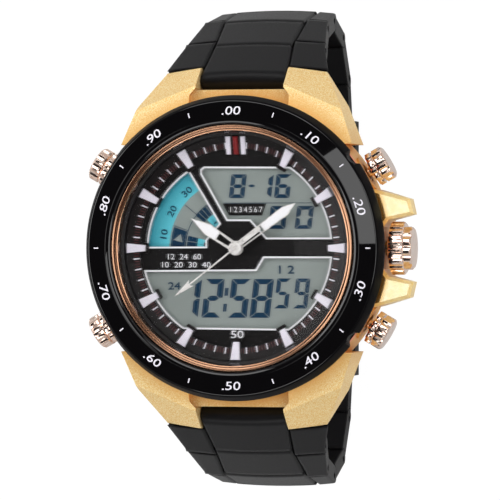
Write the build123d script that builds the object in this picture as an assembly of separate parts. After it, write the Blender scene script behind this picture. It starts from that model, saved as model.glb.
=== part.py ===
from build123d import *
import math
import os

os.makedirs("parts", exist_ok=True)

# The watch's driving sizes, in millimetres and degrees.
# The face looks up along Z, 12 o'clock is towards +Y and the crown is towards +X.
# The origin is the centre of the case back's outer face, under the hands.

# Heights, added up from the case back's outer face
case_back_thickness = 1.6
cell_space = 2.8
board_thickness = 0.6
bridge_thickness = 0.6
train_height = 2.3
plate_thickness = 0.8
backlight_thickness = 0.25
lcd_thickness = 1.5
dial_thickness = 0.4
stack_gap = 0.05
barrel_rise = 0.8
bezel_height = 3.7
ledge_lift = 0.4
ledge_thickness = 0.65
gasket_thickness = 0.13
crystal_thickness = 1.75

board_level = case_back_thickness + cell_space
bridge_level = board_level + board_thickness
train_level = bridge_level + bridge_thickness
plate_level = train_level + train_height
backlight_level = plate_level + plate_thickness + stack_gap
lcd_level = backlight_level + backlight_thickness + stack_gap
dial_level = lcd_level + lcd_thickness + stack_gap
dial_top = dial_level + dial_thickness
barrel_top = dial_top + barrel_rise
bezel_top = barrel_top + bezel_height
ledge_level = barrel_top + ledge_lift
ledge_top = ledge_level + ledge_thickness
crystal_level = ledge_top + gasket_thickness + stack_gap
crystal_top = crystal_level + crystal_thickness

# Radii of the head, outwards from the glass
fit_gap = 0.05
press_gap = 0.01
overrun = 1.0
crystal_radius = 19.05
ledge_width = 0.55
trim_gap = 0.07
trim_width = 1.03
bezel_width = 4.8
bezel_overhang = 0.7
bezel_shoulder_width = 1.0
bezel_foot_height = 1.1
bezel_edge = 0.35
bezel_inner_slope = 1.0
trim_below_bezel = 0.55
trim_slope = 0.3
bore_beyond_crystal = 0.25
dial_gap = 0.1
movement_inset = 1.75
case_back_inset = 0.9
case_back_edge = 0.5

ledge_radius = crystal_radius - ledge_width
trim_inner_radius = crystal_radius + trim_gap
trim_outer_radius = trim_inner_radius + trim_width
bezel_radius = trim_outer_radius + fit_gap + bezel_width
bezel_shoulder_radius = bezel_radius - bezel_shoulder_width
barrel_radius = bezel_radius - bezel_overhang
case_bore_radius = crystal_radius + bore_beyond_crystal
dial_radius = case_bore_radius - dial_gap
movement_radius = dial_radius - movement_inset
ring_inner_radius = movement_radius + fit_gap
case_back_radius = barrel_radius - case_back_inset

# Lugs and crown guards, placed from the barrel
link_radius = 1.8
link_gap = 0.16
lug_link_gap = 0.5
bar_beyond_barrel = 3.7
bar_level = 4.4
bar_radius = 0.75
bar_tip_radius = 0.5
bar_tip_length = 1.9
lug_tip_radius = 1.9
lug_gap_half = 7.4
lug_tip_half = 13.5
lug_bend_half = 17.0
lug_bend_inset = 0.9
lug_root_half = 19.4
lug_root_inset = 7.3
lug_tip_slant = 0.8
lug_flare = 1.0
lug_flare_inset = 0.6
lug_end_level = 8.6
facet_inner_inset = 1.1
facet_outer_inset = 3.7
facet_end_beyond = 1.46
facet_end_rise = 1.22
lug_shoulder_drop = 0.2
lug_underside = 1.8
boss_link_gap = 0.4
bridge_boss_low = 2.5
bridge_boss_drop = 0.4
guard_root_inset = 1.5
guard_root_half = 9.6
guard_bend_beyond = 4.4
guard_bend_half = 8.0
guard_tip_beyond = 5.1
guard_tip_half = 5.5
guard_inner_half = 4.6
guard_foot_half = 3.4
guard_foot_beyond = 0.9
guard_level = 2.8
guard_tip_level = 7.6
guard_top_drop = 0.9
guard_edge = 0.5

bar_reach = barrel_radius + bar_beyond_barrel
lug_bend_reach = barrel_radius - lug_bend_inset
lug_root_reach = barrel_radius - lug_root_inset
bridge_boss_reach = bar_reach - link_radius - boss_link_gap
guard_root_reach = barrel_radius - guard_root_inset
guard_bend_reach = barrel_radius + guard_bend_beyond
guard_tip_reach = barrel_radius + guard_tip_beyond

# Crown and stem
crown_gap = 1.0
crown_ring_radius = 4.35
crown_ring_length = 2.3
crown_disc_radius = 3.55
crown_disc_length = 1.3
crown_ring_flutes = 24
crown_disc_flutes = 12
flute_depth = 0.25
crown_edge = 0.35
crown_hub_radius = 2.0
crown_hub_length = 0.6
stem_radius = 0.6
stem_end_inset = 4.85
stem_drop = 0.1
stem_depth_in_crown = 1.6
stem_groove_place = 0.8
stem_groove_length = 0.4
stem_groove_depth = 0.2
lever_thickness = 0.3
lever_height = 1.3
lever_reach = 2.6
lever_width = 1.8
stem_gasket_depth = 1.8
stem_gasket_wire = 0.27
gasket_bore_radius = 1.25
gasket_bore_wall = 1.2

crown_start = barrel_radius + crown_gap
stem_end = movement_radius - stem_end_inset
stem_groove_start = stem_end + stem_groove_place
gasket_bore_start = case_bore_radius + gasket_bore_wall
stem_gasket_reach = gasket_bore_start + stem_gasket_depth

# Pushers
pusher_angles = {"pusher_at_2": 60, "pusher_at_4": 120, "pusher_at_8": 240, "pusher_at_10": 300}
pusher_travel = 0.8
pusher_head_radius = 2.85
pusher_head_gap = 1.2
pusher_head_length = 3.0
pusher_flutes = 12
pusher_groove_start = 0.9
pusher_groove_length = 0.3
pusher_neck_radius = 2.2
pusher_edge = 0.35
pusher_stem_radius = 0.8
pusher_stem_inset = 0.7
pusher_boss_radius = 3.05
pusher_boss_beyond = 0.25
spring_seat_depth = 2.3
spring_bore_radius = 1.6
spring_mean_radius = 1.2
spring_wire_radius = 0.14
spring_turns = 5
clip_radius = 1.4
clip_thickness = 0.3
clip_inset = 0.45
clip_groove_depth = 0.2
notch_radius = 1.5
notch_beyond = 0.6
notch_angles = (53.5, 126.5)
flat_angles = (238.3, 301.7)
flat_depth = 0.25

pusher_head_start = barrel_radius + pusher_head_gap
pusher_stem_end = case_bore_radius - pusher_stem_inset
pusher_boss_reach = barrel_radius + pusher_boss_beyond
spring_seat_reach = barrel_radius - spring_seat_depth
clip_start = case_bore_radius - clip_inset
notch_reach = bezel_radius + notch_beyond
flat_reach = bezel_radius - flat_depth

# Case back fixings
case_screw_count = 4
case_screw_turn = 45.0
case_screw_inset = 1.1
case_screw_radius = 0.5
case_screw_head_radius = 0.9
case_screw_head_height = 0.7
case_screw_length = 3.6
screw_slot_width = 0.25
screw_slot_depth = 0.3
back_gasket_wall = 1.1
back_gasket_wire = 0.4
back_groove_width = 0.9
back_groove_depth = 0.86

case_screw_circle = case_back_radius - case_screw_inset
back_gasket_radius = case_bore_radius + back_gasket_wall

# Dial, markers and hands
ring_width = 2.9
ring_lip_rise = 0.3
ring_flat_width = 0.75
ring_slope_rise = 0.9
marker_overhang = 0.9
marker_length = 2.9
marker_inner_width = 1.0
marker_outer_width = 1.6
marker_thickness = 0.45
twelve_bar_width = 1.15
twelve_bar_pitch = 1.15
twelve_bar_gap = 0.06
window_inset = 3.3

ring_lip_radius = dial_radius - ring_width
ring_slope_radius = dial_radius - ring_flat_width
marker_start = ring_lip_radius - marker_overhang
window_radius = dial_radius - window_inset

hour_angle = 303.0
minute_angle = 53.8
second_angle = 232.0
hour_hand_length = 9.0
minute_hand_length = 12.5
second_hand_length = 12.9
second_tail_length = 5.4
hour_rail_half = 0.8
hour_leaf_half = 0.98
hour_slot_half = 0.52
minute_rail_half = 0.7
minute_blade_half = 0.8
minute_slot_half = 0.48
second_needle_half = 0.12
second_arrow_half = 0.6
second_tail_half = 0.4
hour_hand_lift = 0.42
minute_hand_lift = 0.9
second_hand_lift = 1.34
hand_thickness = 0.2
hour_hub_radius = 1.2
minute_hub_radius = 1.1
second_hub_radius = 0.9
second_arbor_radius = 0.22
cannon_radius = 0.5
hour_pipe_radius = 0.8
dial_hole_radius = 1.0
lcd_hole_radius = 1.2

# Gear train, with its ratios
train_distance = 3.4
third_ratio = 7.5
centre_ratio = 8.0
second_wheel_radius = 3.0
second_stage_ratio = 5.0
rotor_stage_ratio = 6.0
intermediate_wheel_radius = 2.4
motion_distance = 3.0
minute_stage_ratio = 3.0
hour_stage_ratio = 4.0
wheel_thickness = 0.15
pinion_thickness = 0.2
mesh_gap = 0.03
tooth_depth = 0.12
wheel_teeth = 60
pinion_teeth = 10
arbor_radius = 0.16
rotor_angle = -60.0
rotor_radius = 1.0
rotor_height = 0.6
stator_gap = 0.25
stator_rim = 0.7
stator_thickness = 0.4
coil_reach = 11.2
coil_length = 8.0
coil_radius = 0.85
coil_core_half = 0.45
winding_margin = 1.68
plate_rim_width = 1.3
pillar_turns = (60.0, 150.0, 215.0)
pillar_circle = 8.7
pillar_radius = 0.8
bridge_radius = 9.8

# Cell, clip, buzzer and board parts
cell_radius = 6.25
cell_thickness = 2.0
cell_x = -7.0
cell_y = 5.0
clip_strap_width = 4.0
clip_strap_thickness = 0.2
buzzer_radius = 8.0
buzzer_thickness = 0.25
buzzer_x = 5.0
buzzer_y = -6.0
cell_step = 0.5
chip_size = 4.2
chip_height = 0.9
chip_x = 5.0
chip_y = -4.2
quartz_can_length = 5.0
quartz_can_radius = 0.8
quartz_can_y = -8.0
capacitor_size = 2.1
capacitor_x = 10.3
capacitor_y = 3.1

# Bracelet rows, from the lug down to the clasp
row_slopes = (56.0, 63.0, 78.0, 105.0, 137.0, 163.0)
first_pitch = 8.9
row_pitch = 9.2
side_gap = 0.15
band_halves = (14.1, 12.0, 10.7, 10.0, 9.8, 9.6, 9.5)
centre_halves = (7.2, 6.6, 7.0, 7.0, 6.6, 6.0, 5.8)
link_edge = 0.35
pin_radius = 0.6
pin_recess = 0.2

# Folding clasp
cover_wall = 0.75
cover_side_gap = 0.15
cover_plate_thickness = 0.9
cover_plate_drop = 1.3
cover_wall_rise = 1.5
cover_wall_overhang = 1.2
cover_edge = 0.3
tongue_length = 1.5
blade_half = 6.4
blade_thickness = 0.8
blade_hook_half = 5.6
outer_hinge_reach = 14.5
outer_hinge_drop = 0.5
outer_knuckle_radius = 0.75
outer_knuckle_half = 3.9
inner_hinge_reach = 13.5
inner_hinge_rise = 0.1
inner_knuckle_radius = 1.0
inner_knuckle_half = 2.4
clasp_pin_radius = 0.35
hook_radius = 1.2
hook_gap = 0.15
blade_gap = 0.15

stem_level = plate_level - stem_radius - stem_drop


# Shared shapes


def drum(radius, low, high, x=0, y=0):
    """An upright cylinder between two heights."""
    bottom = (Align.CENTER, Align.CENTER, Align.MIN)
    return Pos(x, y, low) * Cylinder(radius, high - low, align=bottom)


def tube(outer, inner, low, high, x=0, y=0):
    """An upright tube between two heights."""
    return drum(outer, low, high, x, y) - drum(inner, low - overrun, high + overrun, x, y)


def turned(points):
    """A profile of (radius, height) points turned about the hands' axis."""
    return revolve(make_face(Plane.XZ * Polyline(*points, close=True)), Axis.Z)


def plan(points, low, high):
    """An outline seen from above, raised between two heights."""
    return Pos(0, 0, low) * extrude(make_face(Polyline(*points, close=True)), amount=high - low)


def block(x_low, x_high, y_low, y_high, z_low, z_high):
    """A block between two corners."""
    corner = (Align.MIN, Align.MIN, Align.MIN)
    size = (x_high - x_low, y_high - y_low, z_high - z_low)
    return Pos(x_low, y_low, z_low) * Box(*size, align=corner)


def rod(radius, start, end, y=0, z=0):
    """A round bar along X."""
    bottom = (Align.CENTER, Align.CENTER, Align.MIN)
    return Pos(start, y, z) * Rot(0, 90, 0) * Cylinder(radius, end - start, align=bottom)


def side_profile(points, half_width):
    """An outline in the plane of Y and Z, spread evenly either side of it along X."""
    face = make_face(Plane.YZ * Polyline(*points, close=True))
    return extrude(face, amount=half_width, both=True)


def toothed(radius, depth, teeth, low, high):
    """A wheel with plain teeth standing on its rim."""
    points = []
    step = 2 * math.pi / teeth
    for tooth in range(teeth):
        for share, r in ((0.0, radius - depth), (0.2, radius), (0.5, radius), (0.7, radius - depth)):
            angle = (tooth + share) * step
            points.append((r * math.cos(angle), r * math.sin(angle)))
    return plan(points, low, high)


def facing(angle):
    """The turn that carries something built along +X to a clock direction."""
    return Rot(0, 0, 90 - angle)


def pointed(half, length):
    """A hand's outline from its right half, closed at its tip."""
    return half + [(0, length)] + [(-x, y) for x, y in reversed(half)]


# Case


def tangent_point(centre, radius, point, turn):
    """Where the line from a point touches a circle, on the side that turn gives."""
    dy, dz = point[0] - centre[0], point[1] - centre[1]
    away = math.atan2(dz, dy)
    swing = math.acos(radius / math.hypot(dy, dz))
    angle = away + turn * swing
    return (centre[0] + radius * math.cos(angle), centre[1] + radius * math.sin(angle))


def lug_pair():
    """The two lugs on the 12 side, rounded about the spring bar."""
    bar = (bar_reach, bar_level)
    root = lug_root_reach
    top_root = (root, barrel_top - lug_shoulder_drop)
    low_root = (root, lug_underside)
    top_end = (bar_reach, lug_end_level)
    upper = (bar_reach + lug_tip_radius, bar_level)
    lower = tangent_point(bar, lug_tip_radius, low_root, 1)
    profile = side_profile([low_root, lower, bar, upper, top_end, top_root], bezel_radius)
    profile += rod(lug_tip_radius, -bezel_radius, bezel_radius, *bar)
    tip = bar_reach + lug_tip_radius
    inner_root = lug_root_reach - overrun
    outline = [
        (lug_gap_half + lug_flare, inner_root),
        (lug_gap_half + lug_flare, bridge_boss_reach - lug_flare_inset),
        (lug_gap_half, bridge_boss_reach + lug_flare_inset),
        (lug_gap_half, tip),
        (lug_tip_half, tip - lug_tip_slant),
        (lug_bend_half, lug_bend_reach),
        (lug_root_half, lug_root_reach),
        (lug_root_half, inner_root),
    ]
    right = plan(outline, 0, barrel_top) & profile
    right = split(right, lug_end_facet(), keep=Keep.BOTTOM)
    return right + right.mirror(Plane.YZ)


def lug_end_facet():
    """The plane of the right lug's end facet, which leans outwards and to the side."""
    fall = (barrel_top - lug_shoulder_drop - lug_end_level) / (bar_reach - lug_root_reach)
    inner_reach = bar_reach - facet_inner_inset
    outer_reach = bar_reach - facet_outer_inset
    inner = Vector(lug_gap_half, inner_reach, lug_end_level + fall * facet_inner_inset)
    outer = Vector(lug_tip_half, outer_reach, lug_end_level + fall * facet_outer_inset)
    end = Vector(lug_gap_half, bar_reach + facet_end_beyond, bar_level + facet_end_rise)
    return Plane(origin=inner, z_dir=(outer - inner).cross(end - inner))


def crown_guard():
    """The guard above the crown, an angular shoulder on the case."""
    inside = case_bore_radius
    outline = [
        (inside, guard_foot_half),
        (barrel_radius, guard_foot_half),
        (barrel_radius + guard_foot_beyond, guard_inner_half),
        (guard_tip_reach, guard_tip_half),
        (guard_bend_reach, guard_bend_half),
        (guard_root_reach, guard_root_half),
        (inside, guard_root_half),
    ]
    top = barrel_top - guard_top_drop
    guard = plan(outline, guard_level, top)
    guard = chamfer(guard.faces().sort_by(Axis.Z)[-1].edges(), guard_edge)
    side = [
        (inside, guard_level),
        (barrel_radius, guard_level),
        (guard_tip_reach, guard_tip_level),
        (guard_tip_reach, top),
        (inside, top),
    ]
    return guard & extrude(make_face(Plane.XZ * Polyline(*side, close=True)), amount=-guard_root_half)


def case_body():
    """The gold case: barrel, crystal ledge, lugs, crown guards and pusher seats."""
    body = drum(barrel_radius, case_back_thickness, barrel_top)
    boss_half = lug_gap_half + lug_flare + overrun
    boss_top = lug_end_level - bridge_boss_drop
    boss = block(-boss_half, boss_half, 0, bridge_boss_reach, bridge_boss_low, boss_top)
    lugs = lug_pair() + boss
    body += lugs
    body += lugs.mirror(Plane.XZ)
    guard = crown_guard()
    body += guard
    body += guard.mirror(Plane.XZ)
    for angle in pusher_angles.values():
        seat = rod(pusher_boss_radius, case_bore_radius + overrun, pusher_boss_reach, z=stem_level)
        body += facing(angle) * seat
    body += drum(trim_outer_radius, barrel_top - overrun, ledge_top)
    body -= drum(case_bore_radius, 0, ledge_level)
    body -= drum(ledge_radius, 0, bezel_top)
    stem_bore = rod(stem_radius + fit_gap, 0, guard_tip_reach, z=stem_level)
    body -= stem_bore
    body -= rod(gasket_bore_radius, gasket_bore_start, guard_tip_reach, z=stem_level)
    for angle in pusher_angles.values():
        bore = rod(pusher_stem_radius + fit_gap, 0, bezel_radius, z=stem_level)
        bore += rod(spring_bore_radius, spring_seat_reach, bezel_radius, z=stem_level)
        body -= facing(angle) * bore
    tip = lug_gap_half + bar_tip_length + fit_gap
    for side in (1, -1):
        body -= rod(bar_tip_radius + fit_gap, -tip, tip, side * bar_reach, bar_level)
    groove_half = back_groove_width / 2
    groove_top = case_back_thickness + back_groove_depth
    groove_outer = back_gasket_radius + groove_half
    groove_inner = back_gasket_radius - groove_half
    body -= tube(groove_outer, groove_inner, 0, groove_top)
    for x, y in screw_places():
        top = case_screw_length + fit_gap
        body -= drum(case_screw_radius + press_gap, 0, top, x, y)
    return body


def screw_places():
    """Where the case back's screws stand."""
    places = []
    for number in range(case_screw_count):
        angle = math.radians(case_screw_turn + number * 360 / case_screw_count)
        places.append((case_screw_circle * math.cos(angle), case_screw_circle * math.sin(angle)))
    return places


def bezel():
    """The black bezel ring, notched by the right pushers and flattened by the left ones."""
    inner = trim_outer_radius + fit_gap
    low = barrel_top + fit_gap
    ring = turned(
        [
            (inner, low),
            (bezel_radius - bezel_edge, low),
            (bezel_radius, low + bezel_edge),
            (bezel_radius, low + bezel_foot_height),
            (bezel_shoulder_radius, bezel_top - bezel_edge),
            (bezel_shoulder_radius - bezel_edge, bezel_top),
            (inner + bezel_inner_slope, bezel_top),
            (inner, bezel_top - trim_below_bezel),
        ]
    )
    top = bezel_top + overrun
    for angle in notch_angles:
        ring -= facing(angle) * drum(notch_radius, 0, top, notch_reach, 0)
    for angle in flat_angles:
        half = bezel_width
        ring -= facing(angle) * block(flat_reach, bezel_radius + overrun, -half, half, 0, top)
    return ring


def bezel_trim_ring():
    """The copper ring between the bezel and the glass."""
    top = bezel_top - trim_below_bezel
    low = ledge_top + fit_gap
    points = [
        (trim_inner_radius, low),
        (trim_outer_radius, low),
        (trim_outer_radius, top),
        (trim_inner_radius, top - trim_slope),
    ]
    return turned(points)


def crystal():
    """The flat mineral glass with a small bevel."""
    edge = trim_slope
    points = [
        (0, crystal_level),
        (crystal_radius, crystal_level),
        (crystal_radius, crystal_top - edge),
        (crystal_radius - edge, crystal_top),
        (0, crystal_top),
    ]
    return turned(points)


def crystal_gasket():
    """The flat gasket under the glass."""
    low = ledge_top
    return tube(crystal_radius, ledge_radius + fit_gap, low, low + gasket_thickness)


def spring_bars():
    """The two spring bars, with their tips in the lugs."""
    bars = []
    for side in (1, -1):
        half = centre_halves[0]
        tip = lug_gap_half + bar_tip_length
        bar = rod(bar_radius, -half, half, side * bar_reach, bar_level)
        bar += rod(bar_tip_radius, -tip, tip, side * bar_reach, bar_level)
        bars.append(bar)
    return Compound(children=bars)


# Case back


def case_back():
    """The round back plate with its screw holes."""
    edge = case_back_edge
    plate = turned(
        [
            (0, 0),
            (case_back_radius - edge, 0),
            (case_back_radius, edge),
            (case_back_radius, case_back_thickness - fit_gap),
            (0, case_back_thickness - fit_gap),
        ]
    )
    for x, y in screw_places():
        plate -= drum(case_screw_radius + fit_gap, -overrun, case_back_thickness, x, y)
        head_top = case_screw_head_height + fit_gap
        plate -= drum(case_screw_head_radius + fit_gap, -overrun, head_top, x, y)
    return plate


def case_back_gasket():
    """The round gasket in the groove over the case back."""
    height = case_back_thickness + back_gasket_wire
    return Pos(0, 0, height) * Torus(back_gasket_radius, back_gasket_wire)


def case_back_screws():
    """The four slotted screws of the case back."""
    screws = []
    for x, y in screw_places():
        screw = drum(case_screw_head_radius, press_gap, case_screw_head_height, x, y)
        screw += drum(case_screw_radius, case_screw_head_height, case_screw_length, x, y)
        half = screw_slot_width / 2
        reach = case_screw_head_radius
        screw -= block(x - reach, x + reach, y - half, y + half, 0, screw_slot_depth)
        screws.append(screw)
    return Compound(children=screws)


# Crown and pushers


def fluted(radius, flutes, start, length, edge):
    """A fluted round piece along X, bevelled at its outer end."""
    wheel = toothed(radius, flute_depth, flutes, 0, length)
    wheel &= turned(
        [
            (0, 0),
            (radius, 0),
            (radius, length - edge),
            (radius - edge, length),
            (0, length),
        ]
    )
    return Pos(start, 0, stem_level) * Rot(0, 90, 0) * wheel


def crown():
    """The crown: a fluted ring with a smaller fluted disc outside it."""
    ring = fluted(crown_ring_radius, crown_ring_flutes, crown_start, crown_ring_length, crown_edge)
    disc_start = crown_start + crown_ring_length
    disc = fluted(crown_disc_radius, crown_disc_flutes, disc_start, crown_disc_length, crown_edge)
    hub = rod(crown_hub_radius, crown_start - crown_hub_length, crown_start, z=stem_level)
    end = crown_start + stem_depth_in_crown + fit_gap
    hole = rod(stem_radius + press_gap, 0, end, z=stem_level)
    return ring + disc + hub - hole


def crown_stem():
    """The stem, with a groove near its inner end for the setting lever."""
    end = crown_start + stem_depth_in_crown
    stem = rod(stem_radius, stem_end, end, z=stem_level)
    groove_end = stem_groove_start + stem_groove_length
    groove = rod(stem_radius + overrun, stem_groove_start, groove_end, z=stem_level)
    return stem - (groove - rod(stem_radius - stem_groove_depth, 0, end, z=stem_level))


def crown_gasket():
    """The round gasket on the stem."""
    ring = Torus(stem_radius + stem_gasket_wire + press_gap, stem_gasket_wire)
    return Pos(stem_gasket_reach, 0, stem_level) * Rot(0, 90, 0) * ring


def setting_lever():
    """The forked lever that rides in the stem's groove."""
    middle = stem_groove_start + stem_groove_length / 2
    low, high = middle - lever_thickness / 2, middle + lever_thickness / 2
    bottom = stem_level - lever_height / 2
    lever = block(low, high, -lever_width / 2, lever_reach, bottom, bottom + lever_height)
    core = stem_radius - stem_groove_depth + fit_gap
    lever -= rod(core, 0, crown_start, z=stem_level)
    lever -= block(low - overrun, high + overrun, -lever_width, 0, stem_level - core, stem_level + core)
    return lever


def pusher(angle):
    """One pusher: a fluted head on a stem, with its retaining clip as a second solid."""
    start, length = pusher_head_start, pusher_head_length
    head = fluted(pusher_head_radius, pusher_flutes, start, length, pusher_edge)
    cut = start + pusher_groove_start
    cut_end = cut + pusher_groove_length
    groove = rod(pusher_head_radius + overrun, cut, cut_end, z=stem_level)
    head -= groove - rod(pusher_neck_radius, cut, cut_end, z=stem_level)
    button = head + rod(pusher_stem_radius, pusher_stem_end, pusher_head_start, z=stem_level)
    clip_end = clip_start + clip_thickness
    core = pusher_stem_radius - clip_groove_depth
    groove = rod(pusher_stem_radius + overrun, clip_start, clip_end, z=stem_level)
    button -= groove - rod(core, 0, pusher_head_start, z=stem_level)
    clip = rod(clip_radius, clip_start + press_gap, clip_end - press_gap, z=stem_level)
    clip -= rod(core + press_gap, 0, pusher_head_start, z=stem_level)
    return Compound(children=[facing(angle) * button, facing(angle) * clip])


def pusher_spring(angle):
    """The coil spring round a pusher's stem, resting on the floor of its bore."""
    length = pusher_head_start - pusher_travel - spring_seat_reach - 4 * fit_gap
    rise = length - 2 * spring_wire_radius
    path = Helix(rise / spring_turns, rise, spring_mean_radius)
    section = Plane(path @ 0, z_dir=path % 0) * Circle(spring_wire_radius)
    coil = sweep(section, path)
    start = spring_seat_reach + spring_wire_radius + fit_gap
    return facing(angle) * Pos(start, 0, stem_level) * Rot(0, 90, 0) * coil


# Dial


def arc_line(radius, first, last, steps=8):
    """Points round the hands' axis between two clock directions."""
    points = []
    for step in range(steps + 1):
        angle = math.radians(90 - first - (last - first) * step / steps)
        points.append((radius * math.cos(angle), radius * math.sin(angle)))
    return points


# The windows' corners, as shares of the window radius, from the photograph
upper_window_shares = [
    (0.315, 0.1),
    (0.145, 0.287),
    (-0.1, 0.288),
    (-0.374, 0.764),
    (-0.374, 0.808),
    (-0.34, 0.834),
]
lower_window_shares = [
    (0.207, -0.227),
    (0.287, -0.094),
]
fan_window_shares = [
    (-0.174, 0.252),
    (-0.32, 0.082),
    (-0.32, 0.008),
]

# The windows' arcs, as shares of the window radius and of a turn
upper_window_arcs = [(1.0, 0.095, 0.234)]
lower_window_arcs = [(1.0, 0.265, 0.408), (1.0, 0.595, 0.712)]
fan_window_arcs = [(0.943, 0.751, 0.91)]


def window(arcs, shares):
    """A dial window's outline: arcs by the chapter ring, then its straight corners."""
    outline = []
    for reach, first, last in arcs:
        outline += arc_line(reach * window_radius, 360 * first, 360 * last)
    outline += [(x * window_radius, y * window_radius) for x, y in shares]
    return plan(outline, 0, bezel_top)


def dial_plate():
    """The dial with its two display windows and the fan window on the left."""
    plate = tube(dial_radius, dial_hole_radius, dial_level, dial_top)
    plate -= window(upper_window_arcs, upper_window_shares)
    plate -= window(lower_window_arcs, lower_window_shares)
    plate -= window(fan_window_arcs, fan_window_shares)
    return plate


def chapter_ring():
    """The sloping ring round the dial."""
    low = dial_top + fit_gap / 2
    points = [
        (ring_lip_radius, low),
        (dial_radius, low),
        (dial_radius, dial_top + ring_slope_rise),
        (ring_slope_radius, dial_top + ring_slope_rise),
        (ring_lip_radius, dial_top + ring_lip_rise),
    ]
    return turned(points)


def marker(inner_width, outer_width, shift=0):
    """One applied marker at 12 o'clock, lying along the ring's slope."""
    run = ring_slope_radius - ring_lip_radius
    rise = ring_slope_rise - ring_lip_rise
    tilt = math.degrees(math.atan2(rise, run))
    outline = [
        (-inner_width / 2, 0),
        (inner_width / 2, 0),
        (outer_width / 2, marker_length),
        (-outer_width / 2, marker_length),
    ]
    bar = plan(outline, 0, marker_thickness)
    height = dial_top + ring_lip_rise - (ring_lip_radius - marker_start) * rise / run
    return Pos(shift, marker_start, height + fit_gap) * Rot(tilt, 0, 0) * bar


def hour_markers():
    """Eleven tapering blocks, and three bars side by side at 12."""
    markers = []
    for hour in range(1, 12):
        markers.append(Rot(0, 0, -30 * hour) * marker(marker_inner_width, marker_outer_width))
    width = twelve_bar_width - twelve_bar_gap
    for place in (-1, 0, 1):
        markers.append(marker(width, width, place * twelve_bar_pitch))
    return Compound(children=markers)


def lcd_panel():
    """The liquid crystal glass under the dial."""
    return tube(movement_radius, lcd_hole_radius, lcd_level, lcd_level + lcd_thickness)


def backlight_panel():
    """The thin backlight under the glass."""
    top = backlight_level + backlight_thickness
    return tube(movement_radius, lcd_hole_radius, backlight_level, top)


# Hands

# Places along each hand, as shares of its length, from the photograph
hour_hand_shares = {"slot_start": 0.17, "rail_end": 0.4, "slot_end": 0.4, "widest": 0.62}
minute_hand_shares = {"slot_start": 0.12, "rail_end": 0.45, "slot_end": 0.45, "widest": 0.83}
second_hand_shares = {"needle_end": 0.73, "arrow_start": 0.72}
second_tail_shares = {"wide": 0.3, "narrow": 0.2}


def placed_hand(hand, lift, angle):
    """A hand laid over the dial and turned to its clock direction."""
    return Pos(0, 0, dial_top + lift) * Rot(0, 0, -angle) * hand


def hour_hand():
    """The short leaf hand with an open slot by its hub."""
    along = {name: share * hour_hand_length for name, share in hour_hand_shares.items()}
    half = [
        (hour_rail_half, 0),
        (hour_rail_half, along["rail_end"]),
        (hour_leaf_half, along["widest"]),
    ]
    hand = plan(pointed(half, hour_hand_length), 0, hand_thickness)
    hand += drum(hour_hub_radius, 0, hand_thickness)
    half = hour_slot_half
    hand -= block(-half, half, along["slot_start"], along["slot_end"], 0, hand_thickness)
    hand -= drum(hour_pipe_radius + press_gap, 0, hand_thickness)
    return placed_hand(hand, hour_hand_lift, hour_angle)


def minute_hand():
    """The long dagger hand with an open slot."""
    along = {name: share * minute_hand_length for name, share in minute_hand_shares.items()}
    half = [
        (minute_rail_half, 0),
        (minute_rail_half, along["rail_end"]),
        (minute_blade_half, along["widest"]),
    ]
    hand = plan(pointed(half, minute_hand_length), 0, hand_thickness)
    hand += drum(minute_hub_radius, 0, hand_thickness)
    half = minute_slot_half
    hand -= block(-half, half, along["slot_start"], along["slot_end"], 0, hand_thickness)
    hand -= drum(cannon_radius + press_gap, 0, hand_thickness)
    return placed_hand(hand, minute_hand_lift, minute_angle)


def second_hand():
    """The thin needle with an arrow tip and a short tail."""
    along = {name: share * second_hand_length for name, share in second_hand_shares.items()}
    tail = {name: share * second_tail_length for name, share in second_tail_shares.items()}
    half = [
        (second_tail_half, -second_tail_length),
        (second_tail_half, -tail["wide"]),
        (second_needle_half, -tail["narrow"]),
        (second_needle_half, along["needle_end"]),
        (second_arrow_half, along["arrow_start"]),
    ]
    hand = plan(pointed(half, second_hand_length), 0, hand_thickness)
    hand += drum(second_hub_radius, 0, hand_thickness)
    hand -= drum(second_arbor_radius + press_gap, 0, hand_thickness / 2)
    return placed_hand(hand, second_hand_lift, second_angle)


# Gear train, seen from the bridge up: seconds wheel, third wheel, centre wheel, motion work

wheel_level = train_level + 2 * wheel_thickness
second_level = wheel_level
third_level = second_level + pinion_thickness + stack_gap
centre_level = third_level + wheel_thickness + 2 * stack_gap
cannon_level = centre_level + pinion_thickness + 4 * stack_gap
hour_level = cannon_level + pinion_thickness + 3 * stack_gap
third_wheel_radius = train_distance * third_ratio / (third_ratio + 1)
third_drive_radius = train_distance / (third_ratio + 1)
centre_wheel_radius = train_distance * centre_ratio / (centre_ratio + 1)
centre_drive_radius = train_distance / (centre_ratio + 1)
minute_wheel_radius = motion_distance * minute_stage_ratio / (minute_stage_ratio + 1)
cannon_pinion_radius = motion_distance / (minute_stage_ratio + 1)
hour_wheel_radius = motion_distance * hour_stage_ratio / (hour_stage_ratio + 1)
hour_drive_radius = motion_distance / (hour_stage_ratio + 1)
intermediate_drive_radius = second_wheel_radius / second_stage_ratio
intermediate_x = second_wheel_radius + intermediate_drive_radius
rotor_pinion_radius = intermediate_wheel_radius / rotor_stage_ratio
rotor_distance = intermediate_wheel_radius + rotor_pinion_radius
rotor_x = intermediate_x + rotor_distance * math.cos(math.radians(rotor_angle))
rotor_y = rotor_distance * math.sin(math.radians(rotor_angle))
rotor_level = third_level + wheel_thickness + 2 * stack_gap
pivot_low = bridge_level + bridge_thickness / 2
pivot_high = plate_level + plate_thickness / 2


def wheel(radius, level):
    """A train wheel with its teeth clear of its mate by the mesh gap."""
    return toothed(radius - mesh_gap, tooth_depth, wheel_teeth, level, level + wheel_thickness)


def pinion(radius, level):
    """A small driving pinion."""
    outer = radius - mesh_gap
    return toothed(outer, tooth_depth / 2, pinion_teeth, level, level + pinion_thickness)


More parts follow.
